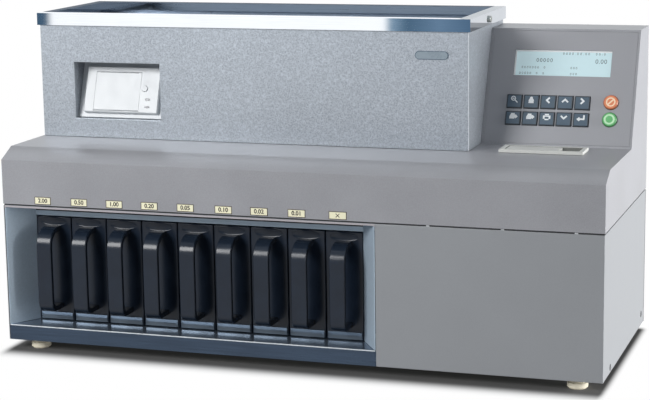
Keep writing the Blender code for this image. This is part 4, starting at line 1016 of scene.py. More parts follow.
class COUNTER_OT_bay(CounterOperator, bpy.types.Operator):
    """Dress the polished recess of the coin boxes, with its floor, a painted dark reflection on its sill and a painted
    highlight on its front flange
    """

    bl_idname = "counter.bay"
    bl_label = "Coin box bay"

    def build(self, scene):
        item = dressed("bay_surround", "bay_surround_polished", 0)
        low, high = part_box("bay_surround")
        sill_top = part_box("coin_box_1")[0].z
        trim(item, (0, FRONT + PLATE_ROOM, 0), (0, -1, 0))
        for z in (sill_top + 0.1 * MM, high.z - 3.9 * MM):
            part_line(item, (0, 0, z), (0, 0, 1))
        soften(item, scene.counter_edges.steel)
        settle(item, bay_steel(), "cabinet", "polished_steel", "bay_surround")
        for material in (sill_painted_reflection_steel(), highlight_edge_steel(), floor_steel()):
            item.data.materials.append(material)
        # Painted light on the one polished piece: a painted dark reflection on the sill's front below the boxes and a
        # painted highlight on the front flange at the top; the floor under the boxes keeps its own steel.
        for face in item.data.polygons:
            if face.center.z < sill_top + 0.2 * MM:
                face.material_index = 3 if face.normal.z > 0.9 else 1
            elif face.normal.y < -0.9 and face.center.z > high.z - 3.9 * MM:
                face.material_index = 2
        boxes_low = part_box("coin_box_1")[0]
        boxes_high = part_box("coin_box_9")[1]
        # A dark strip under the front flange, along the top of the header: painted shadow where the flange shades the
        # header.
        shadow_strip = add_block(
            "header_shadow_strip",
            (boxes_low.x - 0.6 * MM, boxes_low.y - 1.4 * MM, high.z - 12.6 * MM),
            (boxes_high.x + 0.6 * MM, boxes_low.y + 0.1 * MM, high.z - 9.6 * MM),
        )
        settle(soften(shadow_strip, 0.3 * MM), dark_rubber(), "cabinet", "matt_black")
        # A pale strip along the sill's top edge: a painted highlight.
        bead = add_block(
            "sill_edge_highlight",
            (low.x + 0.6 * MM, FRONT + 0.05 * MM, sill_top - 1.5 * MM),
            (high.x - 0.6 * MM, FRONT + 1.6 * MM, sill_top - 0.15 * MM),
        )
        settle(soften(bead, 0.4 * MM, 3), painted_highlight_steel(), "cabinet", "polished_steel")


class COUNTER_OT_coin_boxes(CounterOperator, bpy.types.Operator):
    """Dress the nine coin boxes and their handles"""

    bl_idname = "counter.coin_boxes"
    bl_label = "Coin boxes"

    def build(self, scene):
        edges = scene.counter_edges
        for number in BOXES:
            node = f"coin_box_{number}"
            low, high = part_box(node)
            box = self.with_scoop(dressed(node, f"{node}_moulded", 0.5 * MM, 2), low, high)
            lip = self.foot_lip(number, low, high)
            widen(box, (low.x + high.x) / 2, 1.015)
            settle(box, box_plastic(), f"drawer_{number}", "black_plastic", node)
            settle(lip, lip_plastic(), f"drawer_{number}", "black_plastic")
            handle = dressed(f"box_handle_{number}", f"box_handle_{number}_rounded", edges.handle, 4, 50)
            settle(handle, box_plastic(), f"drawer_{number}", "black_plastic", f"box_handle_{number}")

    @staticmethod
    def with_scoop(box, low, high):
        """A box with the shallow hollow above its grip, where the fingers go in."""
        clear_selection()
        bpy.ops.mesh.primitive_uv_sphere_add(
            segments=ROUND, ring_count=24, radius=1, location=((low.x + high.x) / 2, low.y, high.z - 7 * MM)
        )
        ball = named("scoop")
        ball.scale = (19 * MM, 1.3 * MM, 6 * MM)
        fix_place(ball)
        take(box)
        cut = box.modifiers.new("scoop", "BOOLEAN")
        cut.operation = "DIFFERENCE"
        cut.object = ball
        bpy.ops.object.modifier_apply(modifier=cut.name)
        bpy.data.objects.remove(ball)
        return shade(box)

    @staticmethod
    def foot_lip(number, low, high):
        """The band along the foot of a box's front, with a groove pressed into it."""
        margin = 1.6 * MM
        item = add_block(
            f"foot_lip_{number}",
            (low.x + margin, low.y - 1.1 * MM, low.z + 1.2 * MM),
            (high.x - margin, low.y + 0.2 * MM, low.z + 11.0 * MM),
        )
        start_shaping(item)
        select_where(item, faces=lambda centre, normal: normal.y < -0.9)
        bpy.ops.mesh.inset(thickness=3.6 * MM)
        bpy.ops.transform.translate(value=(0, 0.6 * MM, 0))
        end_shaping()
        return soften(item, 0.45 * MM, 2)


class COUNTER_OT_value_plates(CounterOperator, bpy.types.Operator):
    """Add the nine value plates above the coin boxes"""

    bl_idname = "counter.value_plates"
    bl_label = "Value plates"
    figures = ("2.00", "0.50", "1.00", "0.20", "0.05", "0.10", "0.02", "0.01")
    left_edges = (47.0, 100.0, 150.8, 200.9, 251.7, 304.5, 353.4, 404.3, 459.2)

    def build(self, scene):
        plates = scene.counter_plates
        bottom = BASE + plates.above
        for number, edge in enumerate(self.left_edges, 1):
            left = CASE_LOW.x + edge * MM
            place = (
                Matrix.Translation((left + plates.width / 2, FRONT + PLATE_ROOM, bottom + plates.height / 2))
                @ UPRIGHT_FRONT
            )
            half = Vector((plates.width / 2, plates.height / 2))
            inner = half - Vector((plates.border, plates.border))
            rim = soften(add_block(f"plate_frame_{number}", (-half.x, -half.y, 0), (half.x, half.y, 0.35 * MM)), 0.15 * MM)
            face = add_block(f"plate_face_{number}", (-inner.x, -inner.y, 0.1 * MM), (inner.x, inner.y, 0.45 * MM))
            soften(face, 0.1 * MM)
            body = "cabinet" if bottom + plates.height < BASE + 0.1850 else "lid"
            settle(put(rim, place), plate_frame(), body, "black_plastic")
            settle(put(face, place), plate_cream(), body, "white_plastic")
            if number <= len(self.figures):
                marks = add_figures(
                    f"plate_figures_{number}",
                    self.figures[number - 1],
                    plates.figures,
                    (0, 0),
                    0.42 * MM,
                    0.5 * MM,
                    place,
                    weight=0.22 * MM,
                )
            else:
                marks = put(self.cross(number), place)
            settle(marks, dark_ink(), body, "black_plastic")

    @staticmethod
    def cross(number):
        """A plain cross for the box that takes what isn't counted."""
        reach = 2.2 * MM
        strokes = [
            add_stroke(f"cross_{side}", (-reach, -side * reach), (reach, side * reach), 0.9 * MM, 0.42 * MM, 0.5 * MM)
            for side in (-1, 1)
        ]
        return unite(f"plate_figures_{number}", strokes)


class COUNTER_OT_console(CounterOperator, bpy.types.Operator):
    """Dress the console's face plate"""

    bl_idname = "counter.console"
    bl_label = "Console plate"

    def build(self, scene):
        plate = dressed("console_plate", "console_plate_painted", 0, whole_faces=False)
        settle(plate, console_paint(), "lid", "cover_paint", "console_plate")


def console_paint():
    return make_finish(
        "console_plate_paint", look().cover, "speckled", 2000.0, 0.05, (0.36, 0.48), 0.00001
    )


class COUNTER_OT_display(CounterOperator, bpy.types.Operator):
    """Add the lit display with plain figures"""

    bl_idname = "counter.display"
    bl_label = "Display"

    def build(self, scene):
        screen = scene.counter_screen
        low, high = box_in("lcd_window", CONSOLE)
        glass = dressed("lcd_window", "display_glass", 0.15 * MM)
        settle(glass, screen_glass(), "lid", "display_lens", "lcd_window")
        top = high.z + 0.02 * MM
        # White strips at the left and top of the glass: a painted highlight on the lit cut edges of the window.
        edge = screen.edge
        strips = [
            add_block("glass_highlight_left", (low.x, low.y, high.z - 0.2 * MM), (low.x + edge, high.y, high.z + 0.25 * MM)),
            add_block("glass_highlight_top", (low.x, high.y - edge, high.z - 0.2 * MM), (high.x, high.y, high.z + 0.25 * MM)),
        ]
        rim = put(soften(unite("display_painted_highlight", strips), 0.08 * MM), CONSOLE)
        settle(rim, white_ink_and_painted_highlight(), "lid", "display_lens")
        span = high - low
        rows = (
            ("0000.00.00  00:0", 4.6, 0.715, 0.875, 1.75),
            ("0.00", screen.figures / MM, 0.895, 0.585, 1.1),
            ("00000", 7.4, 0.310, 0.60, 1.25),
            ("0000000  0", 4.4, 0.200, 0.315, 1.6),
            ("000", 4.4, 0.620, 0.315, 1.6),
            ("00000  0  0", 4.4, 0.185, 0.085, 1.6),
            ("000", 4.4, 0.620, 0.085, 1.6),
        )
        marks = [
            add_figures(
                f"display_row_{index}",
                text,
                size * MM,
                (low.x + span.x * across, low.y + span.y * up),
                top,
                top + 0.04 * MM,
                CONSOLE,
                spacing,
            )
            for index, (text, size, across, up, spacing) in enumerate(rows)
        ]
        settle(unite("display_figures", marks), lcd_ink(), "lid", "display_lens")


def screen_glass():
    return make_finish(
        "lit_display",
        bpy.context.scene.counter_screen.glass,
        "moulded",
        120.0,
        0.03,
        (0.10, 0.16),
        0.0,
        coat=0.5,
        glow=0.32,
    )


class COUNTER_OT_keys(CounterOperator, bpy.types.Operator):
    """Model the ten dished keys and print a plain sign on each"""

    bl_idname = "counter.keys"
    bl_label = "Keys"

    def build(self, scene):
        signs = (
            self.magnifier,
            self.purse,
            self.chevron_left,
            self.chevron_up,
            self.chevron_right,
            self.tray_out,
            self.tray_out,
            self.printer,
            self.chevron_down,
            self.enter,
        )
        for number in KEYS:
            node = f"key_{number}"
            low, high = self.cap_corners(node)
            stem = self.stem(node, low.z)
            cap = put(self.cap(f"{node}_dish", low, high), CONSOLE)
            key = unite(f"{node}_cap", [cap, stem])
            settle(key, None, node, "key_plastic", node)
            centre = Vector(((low.x + high.x) / 2, (low.y + high.y) / 2 + 2.3 * MM, high.z - 0.24 * MM))
            sign = put(signs[number - 1](f"key_sign_{number}"), CONSOLE @ Matrix.Translation(centre))
            settle(sign, white_ink_and_painted_highlight(), node, "key_plastic")

    @staticmethod
    def cap_corners(node):
        """The corners of the part of a key that stands in the plate's opening."""
        back = CONSOLE.inverted()
        points = [back @ vertex.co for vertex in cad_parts[node].data.vertices]
        upper = [p for p in points if p.z > -0.1 * MM]
        low = Vector([min(p[i] for p in upper) for i in range(3)])
        high = Vector([max(p[i] for p in upper) for i in range(3)])
        low.z = -0.4 * MM
        return low, high

    @staticmethod
    def stem(node, level):
        """The flange and stem of a key, cut off just below the plate's face."""
        item = dressed(node, node + "_stem", 0)
        start_shaping(item)
        bpy.ops.mesh.select_all(action="SELECT")
        bpy.ops.mesh.bisect(
            plane_co=CONSOLE @ Vector((0, 0, level)),
            plane_no=(CONSOLE.to_3x3() @ Vector((0, 0, 1))).normalized(),
            clear_outer=True,
            use_fill=True,
        )
        end_shaping()
        # The stem takes the dark copy of the key's colour: painted shade in the gap round the cap.
        item.data.materials.append(key_painted_shade_plastic())
        return item

    @staticmethod
    def cap(name, low, high):
        """A key's cap: round corners, a rolled rim darkened as painted shade and a shallow dish."""
        item = add_block(name, low, high)
        item.data.materials.append(key_painted_shade_plastic())
        item.data.materials.append(key_plastic())
        start_shaping(item, "EDGE")
        select_where(item, edges=lambda centre, run: abs(run.z) > 0.9)
        bpy.ops.mesh.bevel(offset=1.9 * MM, segments=4, affect="EDGES")
        select_where(
            item, edges=lambda centre, run: abs(run.z) < 0.1 and centre.z > high.z - 0.01 * MM
        )
        bpy.ops.mesh.bevel(offset=0.7 * MM, segments=2, affect="EDGES")
        bpy.ops.mesh.select_mode(type="FACE")
        select_where(item, faces=lambda centre, facing: facing.z > 0.999 and centre.z > high.z - 0.01 * MM)
        bpy.ops.mesh.inset(thickness=0.5 * MM)
        bpy.ops.mesh.inset(thickness=0.4 * MM)
        bpy.ops.transform.translate(value=(0, 0, -0.25 * MM))
        item.active_material_index = 1
        bpy.ops.object.material_slot_assign()
        end_shaping()
        return shade(item)

    @staticmethod
    def strokes(name, lines, width=1.5):
        """A sign of straight strokes, given in millimetres from the middle."""
        items = [
            add_stroke(
                f"{name}_{index}",
                (a[0] * MM, a[1] * MM),
                (b[0] * MM, b[1] * MM),
                width * MM,
                0,
                (0.10 + 0.01 * index) * MM,
            )
            for index, (a, b) in enumerate(lines)
        ]
        return unite(name, items)

    def chevron_left(self, name):
        return self.strokes(name, (((1.4, 3.1), (-1.9, 0)), ((-1.9, 0), (1.4, -3.1))), 2.3)

    def chevron_right(self, name):
        return self.strokes(name, (((-1.4, 3.1), (1.9, 0)), ((1.9, 0), (-1.4, -3.1))), 2.3)

    def chevron_up(self, name):
        return self.strokes(name, (((-3.4, -1.5), (0, 1.7)), ((0, 1.7), (3.4, -1.5))), 2.3)

    def chevron_down(self, name):
        return self.strokes(name, (((-3.4, 1.7), (0, -1.5)), ((0, -1.5), (3.4, 1.7))), 2.3)

    def enter(self, name):
        return self.strokes(
            name,
            (
                ((4.0, 3.2), (4.0, -1.6)),
                ((4.0, -1.6), (-2.4, -1.6)),
                ((-2.2, 0.0), (-4.2, -1.6)),
                ((-2.2, -3.2), (-4.2, -1.6)),
                ((-2.6, -0.6), (-2.6, -2.6)),
            ),
            2.2,
        )

    def magnifier(self, name):
        ring = add_ring(name + "_ring", 2.7 * MM, 1.2 * MM, (-1.4 * MM, 1.5 * MM), 0.03 * MM, 0.2)
        stem = self.strokes(name + "_stem", (((1.0, -0.9), (4.0, -3.9)), ((-2.4, 1.5), (-0.4, 1.5))), 1.3)
        return unite(name, [ring, stem])

    def purse(self, name):
        belly = add_round(name + "_belly", 3.5 * MM, (0, -1.2 * MM), 0, 0.12 * MM, SMALL_ROUND)
        neck = add_round(name + "_neck", 2.1 * MM, (0, 2.2 * MM), 0, 0.14 * MM, SMALL_ROUND)
        foot = self.strokes(name + "_foot", (((-2.9, -3.7), (2.9, -3.7)),), 1.7)
        return unite(name, [belly, neck, foot])

    def tray_out(self, name):
        return self.strokes(
            name,
            (
                ((-3.2, 1.1), (1.9, 1.1)),
                ((-2.2, 2.9), (1.4, 2.9)),
                ((-4.0, -0.7), (2.9, -0.7)),
                ((-4.0, -2.5), (1.4, -2.5)),
                ((3.4, 1.1), (5.0, -0.5)),
                ((5.0, -0.5), (3.4, -2.1)),
            ),
            2.1,
        )

    def printer(self, name):
        return self.strokes(
            name,
            (
                ((-2.2, 3.4), (2.2, 3.4)),
                ((-4.4, 1.2), (4.4, 1.2)),
                ((-4.4, -0.5), (-3.2, -0.5)),
                ((3.2, -0.5), (4.4, -0.5)),
                ((-4.4, -1.7), (-3.2, -1.7)),
                ((3.2, -1.7), (4.4, -1.7)),
                ((-2.1, -3.4), (2.1, -3.4)),
            ),
            1.7,
        )


class COUNTER_OT_round_buttons(CounterOperator, bpy.types.Operator):
    """Dress the stop and start buttons, with a dark ring of painted shade in the gap round each"""

    bl_idname = "counter.round_buttons"
    bl_label = "Round buttons"

    def build(self, scene):
        ring_width = scene.counter_small_parts.ring
        for node, material, edge, mark in (
            ("stop_button", stop_plastic(), painted_shade_edge_plastic("orange_painted_shade_edge", look().stop), self.stop_mark),
            ("start_button", start_plastic(), painted_shade_edge_plastic("green_painted_shade_edge", look().start), self.start_mark),
        ):
            low, high = box_in(node, CONSOLE)
            centre = Vector(((low.x + high.x) / 2, (low.y + high.y) / 2, 0))
            place = CONSOLE @ Matrix.Translation(centre)
            button = dressed(node, node + "_cap", 0)
            slot = "orange_plastic" if node == "stop_button" else "green_plastic"
            settle(button, material, node, slot, node)
            button.data.materials.append(edge)
            # The cap's sides below its top take the darker copy: painted shade round the button's edge.
            back = place.inverted()
            for face in button.data.polygons:
                if (back @ face.center).z < high.z - 0.02 * MM:
                    face.material_index = 1
            mark(place, high.z, node)
            # A thin dark ring in the gap round the cap: painted shade.
            radius = 9.7 * MM + 0.1 * MM + ring_width / 2
            ring = add_ring(node + "_painted_shade_ring", radius, ring_width, (0, 0), 0.0, 0.5)
            settle(put(shade(ring), place), matt_black(), "lid", "matt_black")

    @staticmethod
    def stop_mark(place, top, node):
        ring = add_ring(node + "_ring", 5.4 * MM, 1.8 * MM, (0, 0), top, 0.22)
        slash = add_stroke(
            node + "_slash", (-3.6 * MM, -3.6 * MM), (3.6 * MM, 3.6 * MM), 1.9 * MM, top - 0.1 * MM, top + 0.18 * MM
        )
        mark = unite(node + "_mark", [ring, slash])
        pale = make_finish("pale_orange_print", srgb(252, 222, 190), "moulded", 2000.0, 0.04, (0.35, 0.5), 0.000004)
        settle(put(mark, place), pale, node, "orange_plastic")

    @staticmethod
    def start_mark(place, top, node):
        ring = add_ring(node + "_ring", 5.9 * MM, 2.5 * MM, (0, 0), top, 0.2)
        pale = make_finish("pale_green_print", srgb(196, 240, 196), "moulded", 2000.0, 0.04, (0.35, 0.5), 0.000004)
        settle(put(ring, place), pale, node, "green_plastic")


class COUNTER_OT_latch(CounterOperator, bpy.types.Operator):
    """Dress the lid latch and its paddle"""

    bl_idname = "counter.latch"
    bl_label = "Lid latch"

    def build(self, scene):
        edge = scene.counter_edges.plastic
        bezel = dressed("latch_frame", "latch_frame_moulded", edge, 3, whole_faces=False)
        settle(bezel, latch_plastic(), "lid", "latch_plastic", "latch_frame")
        bezel.data.materials.append(latch_well_painted_shade())
        low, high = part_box("latch_frame")
        rim = 5.4 * MM
        # Faces of the well inside the bezel's rim take the darker grey: painted shade.
        for face in bezel.data.polygons:
            spot = face.center
            within = low.x + rim < spot.x < high.x - rim and low.y + rim < spot.y < high.y - rim
            if within and spot.z < high.z - 0.8 * MM:
                face.material_index = 1
        paddle = dressed("latch_paddle", "latch_paddle_moulded", edge, 3)
        settle(paddle, latch_plastic(), "latch_paddle", "latch_plastic", "latch_paddle")


class COUNTER_OT_printer(CounterOperator, bpy.types.Operator):
    """Dress the receipt printer and add its lamps and paper slot"""

    bl_idname = "counter.printer"
    bl_label = "Receipt printer"

    def build(self, scene):
        edge = scene.counter_edges.plastic
        housing = dressed("printer_housing", "printer_housing_moulded", 0.3 * MM, 2)
        settle(housing, white_plastic(), "lid", "white_plastic", "printer_housing")
        door = dressed("printer_door", "printer_door_moulded", 0.2 * MM, 2)
        widen(door, (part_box("printer_door")[0].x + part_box("printer_door")[1].x) / 2, 1.008)
        settle(door, white_plastic(), "printer_door", "white_plastic", "printer_door")
        button = dressed("printer_button", "printer_button_cap", 0.0)
        settle(shade(button), white_plastic(), "printer_button", "white_plastic", "printer_button")
        low, high = box_in("printer_door", NICHE)
        top = high.z
        slot = add_block(
            "paper_slot",
            (low.x + 5 * MM, high.y - 1.1 * MM, top - 0.1 * MM),
            (high.x - 4 * MM, high.y - 0.3 * MM, top + 0.04 * MM),
        )
        settle(put(slot, NICHE), make_finish("slot_shadow", srgb(120, 126, 132)), "printer_door", "white_plastic")
        button_low, button_high = box_in("printer_button", NICHE)
        middle = (button_low + button_high) / 2
        for number, drop in enumerate((15.1, 25.6), 1):
            lamp = add_round(
                f"printer_lamp_{number}",
                1.9 * MM,
                (0, 0),
                0.0,
                0.5 * MM,
                SMALL_ROUND,
            )
            lamp.scale = (2.1, 0.85, 1)
            lamp.location = (middle.x + 5.6 * MM, middle.y - drop * MM, button_high.z - 0.75 * MM)
            settle(
                put(soften(fix_place(lamp), 0.2 * MM, 2), NICHE),
                make_finish("lamp_lens", srgb(78, 84, 92), "moulded", 900.0, 0.1, (0.2, 0.3)),
                "lid",
                "white_plastic",
            )


class COUNTER_OT_feet(CounterOperator, bpy.types.Operator):
    """Dress the four rubber feet"""

    bl_idname = "counter.feet"
    bl_label = "Feet"

    def build(self, scene):
        for corner in CORNERS:
            node = "foot_" + corner
            settle(dressed(node, node + "_rubber", 0.4 * MM, 2), cream_rubber(), "cabinet", "cream_rubber", node)


class COUNTER_OT_screws(CounterOperator, bpy.types.Operator):
    """Add the screws of the case and of the hopper's rim"""

    bl_idname = "counter.screws"
    bl_label = "Screws"

    def build(self, scene):
        radius = scene.counter_small_parts.screw
        pattern = self.head(radius, 0.25 * MM)
        domed = self.head(radius, 2.6 * MM)
        rim_low, rim_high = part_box("hopper_rim")
        sides = (
            ("case_right", CASE_HIGH.x - HEAD_ROOM, UPRIGHT_RIGHT, "cabinet", ((0.0509, 0.0069), (0.2960, 0.0155))),
            ("case_left", CASE_LOW.x + HEAD_ROOM, UPRIGHT_LEFT, "cabinet", ((0.0509, 0.0069), (0.2960, 0.0155))),
            ("rim_right", rim_high.x, UPRIGHT_RIGHT, "lid", ((0.2254, 0.4229),)),
            ("rim_left", rim_low.x + HEAD_ROOM, UPRIGHT_LEFT, "lid", ((0.2254, 0.4229),)),
        )
        for side, x, turn, body, places in sides:
            for number, (along, up) in enumerate(places, 1):
                spot = Matrix.Translation((x, FRONT + along, BASE + up)) @ turn
                kind = domed if side == "rim_right" else pattern
                screw = put(repeated(kind, f"screw_{side}_{number}", (0, 0, 0)), spot)
                settle(screw, matt_black() if body == "cabinet" else zinc_steel(), body, "zinc_steel")
        bpy.data.objects.remove(pattern)
        bpy.data.objects.remove(domed)

    @staticmethod
    def head(radius, height):
        """A round head with a cross recess."""
        item = add_round("screw_pattern", radius, (0, 0), -1.0 * MM, height, SMALL_ROUND)
        low = height - 0.85 * MM
        for index in range(2):
            blade = add_block("blade", (-radius * 0.55, -0.45 * MM, low), (radius * 0.55, 0.45 * MM, height + MM))
            blade.rotation_euler = (0, 0, math.pi / 2 * index)
            fix_place(blade)
            take(item)
            cut = item.modifiers.new("recess", "BOOLEAN")
            cut.operation = "DIFFERENCE"
            cut.object = blade
            bpy.ops.object.modifier_apply(modifier=cut.name)
            bpy.data.objects.remove(blade)
        return soften(item, 0.15 * MM, 1, 40)


class COUNTER_OT_rear_fittings(CounterOperator, bpy.types.Operator):
    """Dress the mains inlet, the switch and the hinge pin at the back"""

    bl_idname = "counter.rear_fittings"
    bl_label = "Rear fittings"

    def build(self, scene):
        edge = scene.counter_edges.plastic
        settle(dressed("power_inlet", "power_inlet_moulded", edge, 2), matt_black(), "cabinet", "matt_black", "power_inlet")
        settle(
            dressed("power_switch", "power_switch_rocker", edge, 2), matt_black(), "power_switch", "matt_black", "power_switch"
        )
        repaint("lid_hinge_pin", zinc_steel())


class COUNTER_OT_workings(CounterOperator, bpy.types.Operator):
    """Finish the sorting deck, disc, drive and electronics inside"""

    bl_idname = "counter.workings"
    bl_label = "Workings"

    def build(self, scene):
        edge = scene.counter_edges.steel
        settle(dressed("sort_deck", "sort_deck_pressed", edge), plain_steel(), "cabinet", "brushed_steel", "sort_deck")
        settle(dressed("sorter_disc", "sorter_disc_turned", 0.3 * MM), mirror_steel(), "sorter_disc", "polished_steel", "sorter_disc")
        settle(dressed("drive_motor", "drive_motor_housing", edge), zinc_steel(), "cabinet", "zinc_steel", "drive_motor")
        settle(dressed("power_supply", "power_supply_case", edge), zinc_steel(), "cabinet", "zinc_steel", "power_supply")
        repaint("lcd_module", matt_black())
        repaint("control_board", board_green())


def board_green():
    return make_finish("circuit_board", srgb(30, 84, 58), "speckled", 240.0, 0.35, (0.3, 0.45), 0.00001)


class COUNTER_OT_stage(CounterOperator, bpy.types.Operator):
    """Add the floor, the studio light and the camera at the photograph's angle"""

    bl_idname = "counter.stage"
    bl_label = "Stage"

    def build(self, scene):
        stage = scene.counter_stage
        self.add_floor(stage)
        self.add_world(scene)
        self.add_lamp("key_right", (3.0, 0.25, 0.6), (0.2, 0.0, 0.2), (1.6, 1.0), stage.key_light)
        self.add_lamp("front_left", (-1.5, -2.45, 1.6), (0.0, 0.0, 0.2), (1.3, 1.1), stage.front_light)
        overhead = self.add_lamp("overhead", (-0.5, -0.25, 1.8), (-0.35, -0.05, 0.3), (1.0, 0.7), stage.top_light)
        overhead.data.spread = math.radians(75)
        self.add_camera(scene, stage)
        scene.view_settings.view_transform = "Standard"

    @staticmethod
    def add_floor(stage):
        clear_selection()
        bpy.ops.mesh.primitive_plane_add(size=stage.floor, location=(0, 0, 0))
        item = named("studio_floor")
        start_shaping(item)
        bpy.ops.mesh.subdivide(number_cuts=8)
        end_shaping()
        material = bpy.data.materials.new("studio_floor_white")
        material.use_nodes = True
        tree = material.node_tree
        tree.nodes.clear()
        out = tree.nodes.new("ShaderNodeOutputMaterial")
        place = tree.nodes.new("ShaderNodeTexCoord").outputs["Object"]
        grain = add_node(tree, "ShaderNodeTexNoise", [("Vector", place)], Scale=3.0, Detail=2.0)
        tones = tree.nodes.new("ShaderNodeValToRGB")
        tones.color_ramp.elements[0].color = (0.97, 0.97, 0.98, 1)
        tones.color_ramp.elements[1].color = (1, 1, 1, 1)
        tree.links.new(grain.outputs["Fac"], tones.inputs["Fac"])
        ray = tree.nodes.new("ShaderNodeLightPath")
        bounce = tree.nodes.new("ShaderNodeMix")
        bounce.data_type = "RGBA"
        bounce.inputs["A"].default_value = (0.42, 0.42, 0.43, 1)
        tree.links.new(ray.outputs["Is Camera Ray"], bounce.inputs["Factor"])
        shader = add_node(tree, "ShaderNodeBsdfDiffuse", [("Color", bounce.outputs["Result"])])
        glow = add_node(tree, "ShaderNodeEmission", Color=(1, 1, 1, 1), Strength=1.0)
        parts = add_node(tree, "ShaderNodeSeparateXYZ", [("Vector", place)])
        outside = tree.nodes.new("ShaderNodeCombineXYZ")
        inset = stage.shadow_reach * 0.12
        for axis, reach, below, above in (("X", CASE_HIGH.x, 2.8, 4.0), ("Y", WHOLE_HIGH.y, 1.0, 2.5)):
            beyond = add_math(tree, "GREATER_THAN", parts.outputs[axis], 0.0)
            stretch = add_math(tree, "ADD", add_math(tree, "MULTIPLY", beyond, above - below), below)
            away = add_math(tree, "SUBTRACT", add_math(tree, "ABSOLUTE", parts.outputs[axis]), reach - inset)
            away = add_math(tree, "MULTIPLY", add_math(tree, "MAXIMUM", away, 0.0), stretch)
            tree.links.new(away, outside.inputs[axis])
        length = add_node(tree, "ShaderNodeVectorMath", [(0, outside.outputs["Vector"])], operation="LENGTH")
        level = add_node(
            tree,
            "ShaderNodeMapRange",
            [("Value", length.outputs["Value"])],
            From_Min=stage.shadow_reach * 0.1,
            From_Max=stage.shadow_reach,
            interpolation_type="SMOOTHSTEP",
        )
        # Near the counter the floor's seen colour is darkened: a painted contact shadow, fading out over the shadow
        # reach.
        painted_contact_shadow = add_node(tree, "ShaderNodeMapRange", [("Value", level.outputs["Result"])], To_Min=0.14)
        shaded_tones = add_node(tree, "ShaderNodeVectorMath", [(0, tones.outputs["Color"])], operation="SCALE")
        tree.links.new(painted_contact_shadow.outputs["Result"], shaded_tones.inputs["Scale"])
        tree.links.new(shaded_tones.outputs["Vector"], bounce.inputs["B"])
        seen = add_math(tree, "MULTIPLY", ray.outputs["Is Camera Ray"], level.outputs["Result"])
        mirrored = add_math(tree, "MAXIMUM", ray.outputs["Is Glossy Ray"], ray.outputs["Is Transmission Ray"])
        mirrored = add_math(tree, "MULTIPLY", mirrored, add_math(tree, "MAXIMUM", level.outputs["Result"], 0.35))
        share = add_math(tree, "MAXIMUM", seen, mirrored)
        mixed = tree.nodes.new("ShaderNodeMixShader")
        tree.links.new(share, mixed.inputs["Fac"])
        tree.links.new(shader.outputs["BSDF"], mixed.inputs[1])
        tree.links.new(glow.outputs["Emission"], mixed.inputs[2])
        tree.links.new(mixed.outputs["Shader"], out.inputs["Surface"])
        item.data.materials.append(material)

    @staticmethod
    def add_world(scene):
        """A white studio that darkens low in front, where the room behind the camera is."""
        world = bpy.data.worlds.new("studio")
        scene.world = world
        world.use_nodes = True
        tree = world.node_tree
        tree.nodes.clear()
        out = tree.nodes.new("ShaderNodeOutputWorld")
        towards = tree.nodes.new("ShaderNodeTexCoord").outputs["Generated"]
        parts = add_node(tree, "ShaderNodeSeparateXYZ", [("Vector", towards)])
        back = add_math(tree, "MULTIPLY", parts.outputs["Y"], -1.0)
        azimuth = add_math(tree, "ARCTAN2", parts.outputs["X"], back)
        turn = add_node(
            tree, "ShaderNodeMapRange", [("Value", azimuth)], From_Min=-math.pi, From_Max=math.pi
        )
        ramp = tree.nodes.new("ShaderNodeValToRGB")
        pale, deep = (1.0, 1.0, 1.0), (0.11, 0.18, 0.27)
        fill_ramp(
            ramp,
            (
                (0.0, (0.84, 0.86, 0.88)),
                (0.20, (0.84, 0.86, 0.88)),
                (0.28, pale),
                (0.36, (0.34, 0.40, 0.46)),
                (0.42, (0.06, 0.10, 0.16)),
                (0.465, deep),
                (0.475, deep),
                (0.50, (0.30, 0.35, 0.40)),
                (0.62, (0.42, 0.46, 0.50)),
                (0.70, pale),
                (0.80, (0.64, 0.65, 0.67)),
                (1.0, (0.64, 0.65, 0.67)),
            ),
        )
        tree.links.new(turn.outputs["Result"], ramp.inputs["Fac"])
        window = tree.nodes.new("ShaderNodeValToRGB")
        fill_ramp(
            window,
            (
                (0.0, (0.06, 0.10, 0.16)),
                (0.118, (0.05, 0.10, 0.16)),
                (0.130, pale),
                (0.755, pale),
                (0.768, (0.20, 0.30, 0.40)),
                (0.80, (0.07, 0.13, 0.20)),
                (0.86, (0.13, 0.21, 0.31)),
                (0.93, (0.07, 0.13, 0.21)),
                (1.0, deep),
            ),
        )
        near = add_node(tree, "ShaderNodeMapRange", [("Value", turn.outputs["Result"])], From_Min=0.42, From_Max=0.465)
        tree.links.new(near.outputs["Result"], window.inputs["Fac"])
        inside = add_math(
            tree,
            "MULTIPLY",
            add_math(tree, "GREATER_THAN", turn.outputs["Result"], 0.42),
            add_math(tree, "LESS_THAN", turn.outputs["Result"], 0.465),
        )
        around = tree.nodes.new("ShaderNodeMix")
        around.data_type = "RGBA"
        tree.links.new(inside, around.inputs["Factor"])
        tree.links.new(ramp.outputs["Color"], around.inputs["A"])
        tree.links.new(window.outputs["Color"], around.inputs["B"])
        high = add_node(
            tree, "ShaderNodeMapRange", [("Value", parts.outputs["Z"])], From_Min=0.35, From_Max=0.9
        )
        sky = tree.nodes.new("ShaderNodeMix")
        sky.data_type = "RGBA"
        sky.inputs["B"].default_value = (0.62, 0.68, 0.74, 1)
        tree.links.new(high.outputs["Result"], sky.inputs["Factor"])
        tree.links.new(around.outputs["Result"], sky.inputs["A"])
        ambient = add_node(tree, "ShaderNodeBackground", Color=(0.94, 0.97, 1, 1), Strength=0.14)
        studio = add_node(tree, "ShaderNodeBackground", [("Color", sky.outputs["Result"])], Strength=1.3)
        white = add_node(tree, "ShaderNodeBackground", Color=(1, 1, 1, 1), Strength=1.0)
        ray = tree.nodes.new("ShaderNodeLightPath")
        seen = add_math(tree, "MAXIMUM", ray.outputs["Is Camera Ray"], ray.outputs["Is Transmission Ray"])
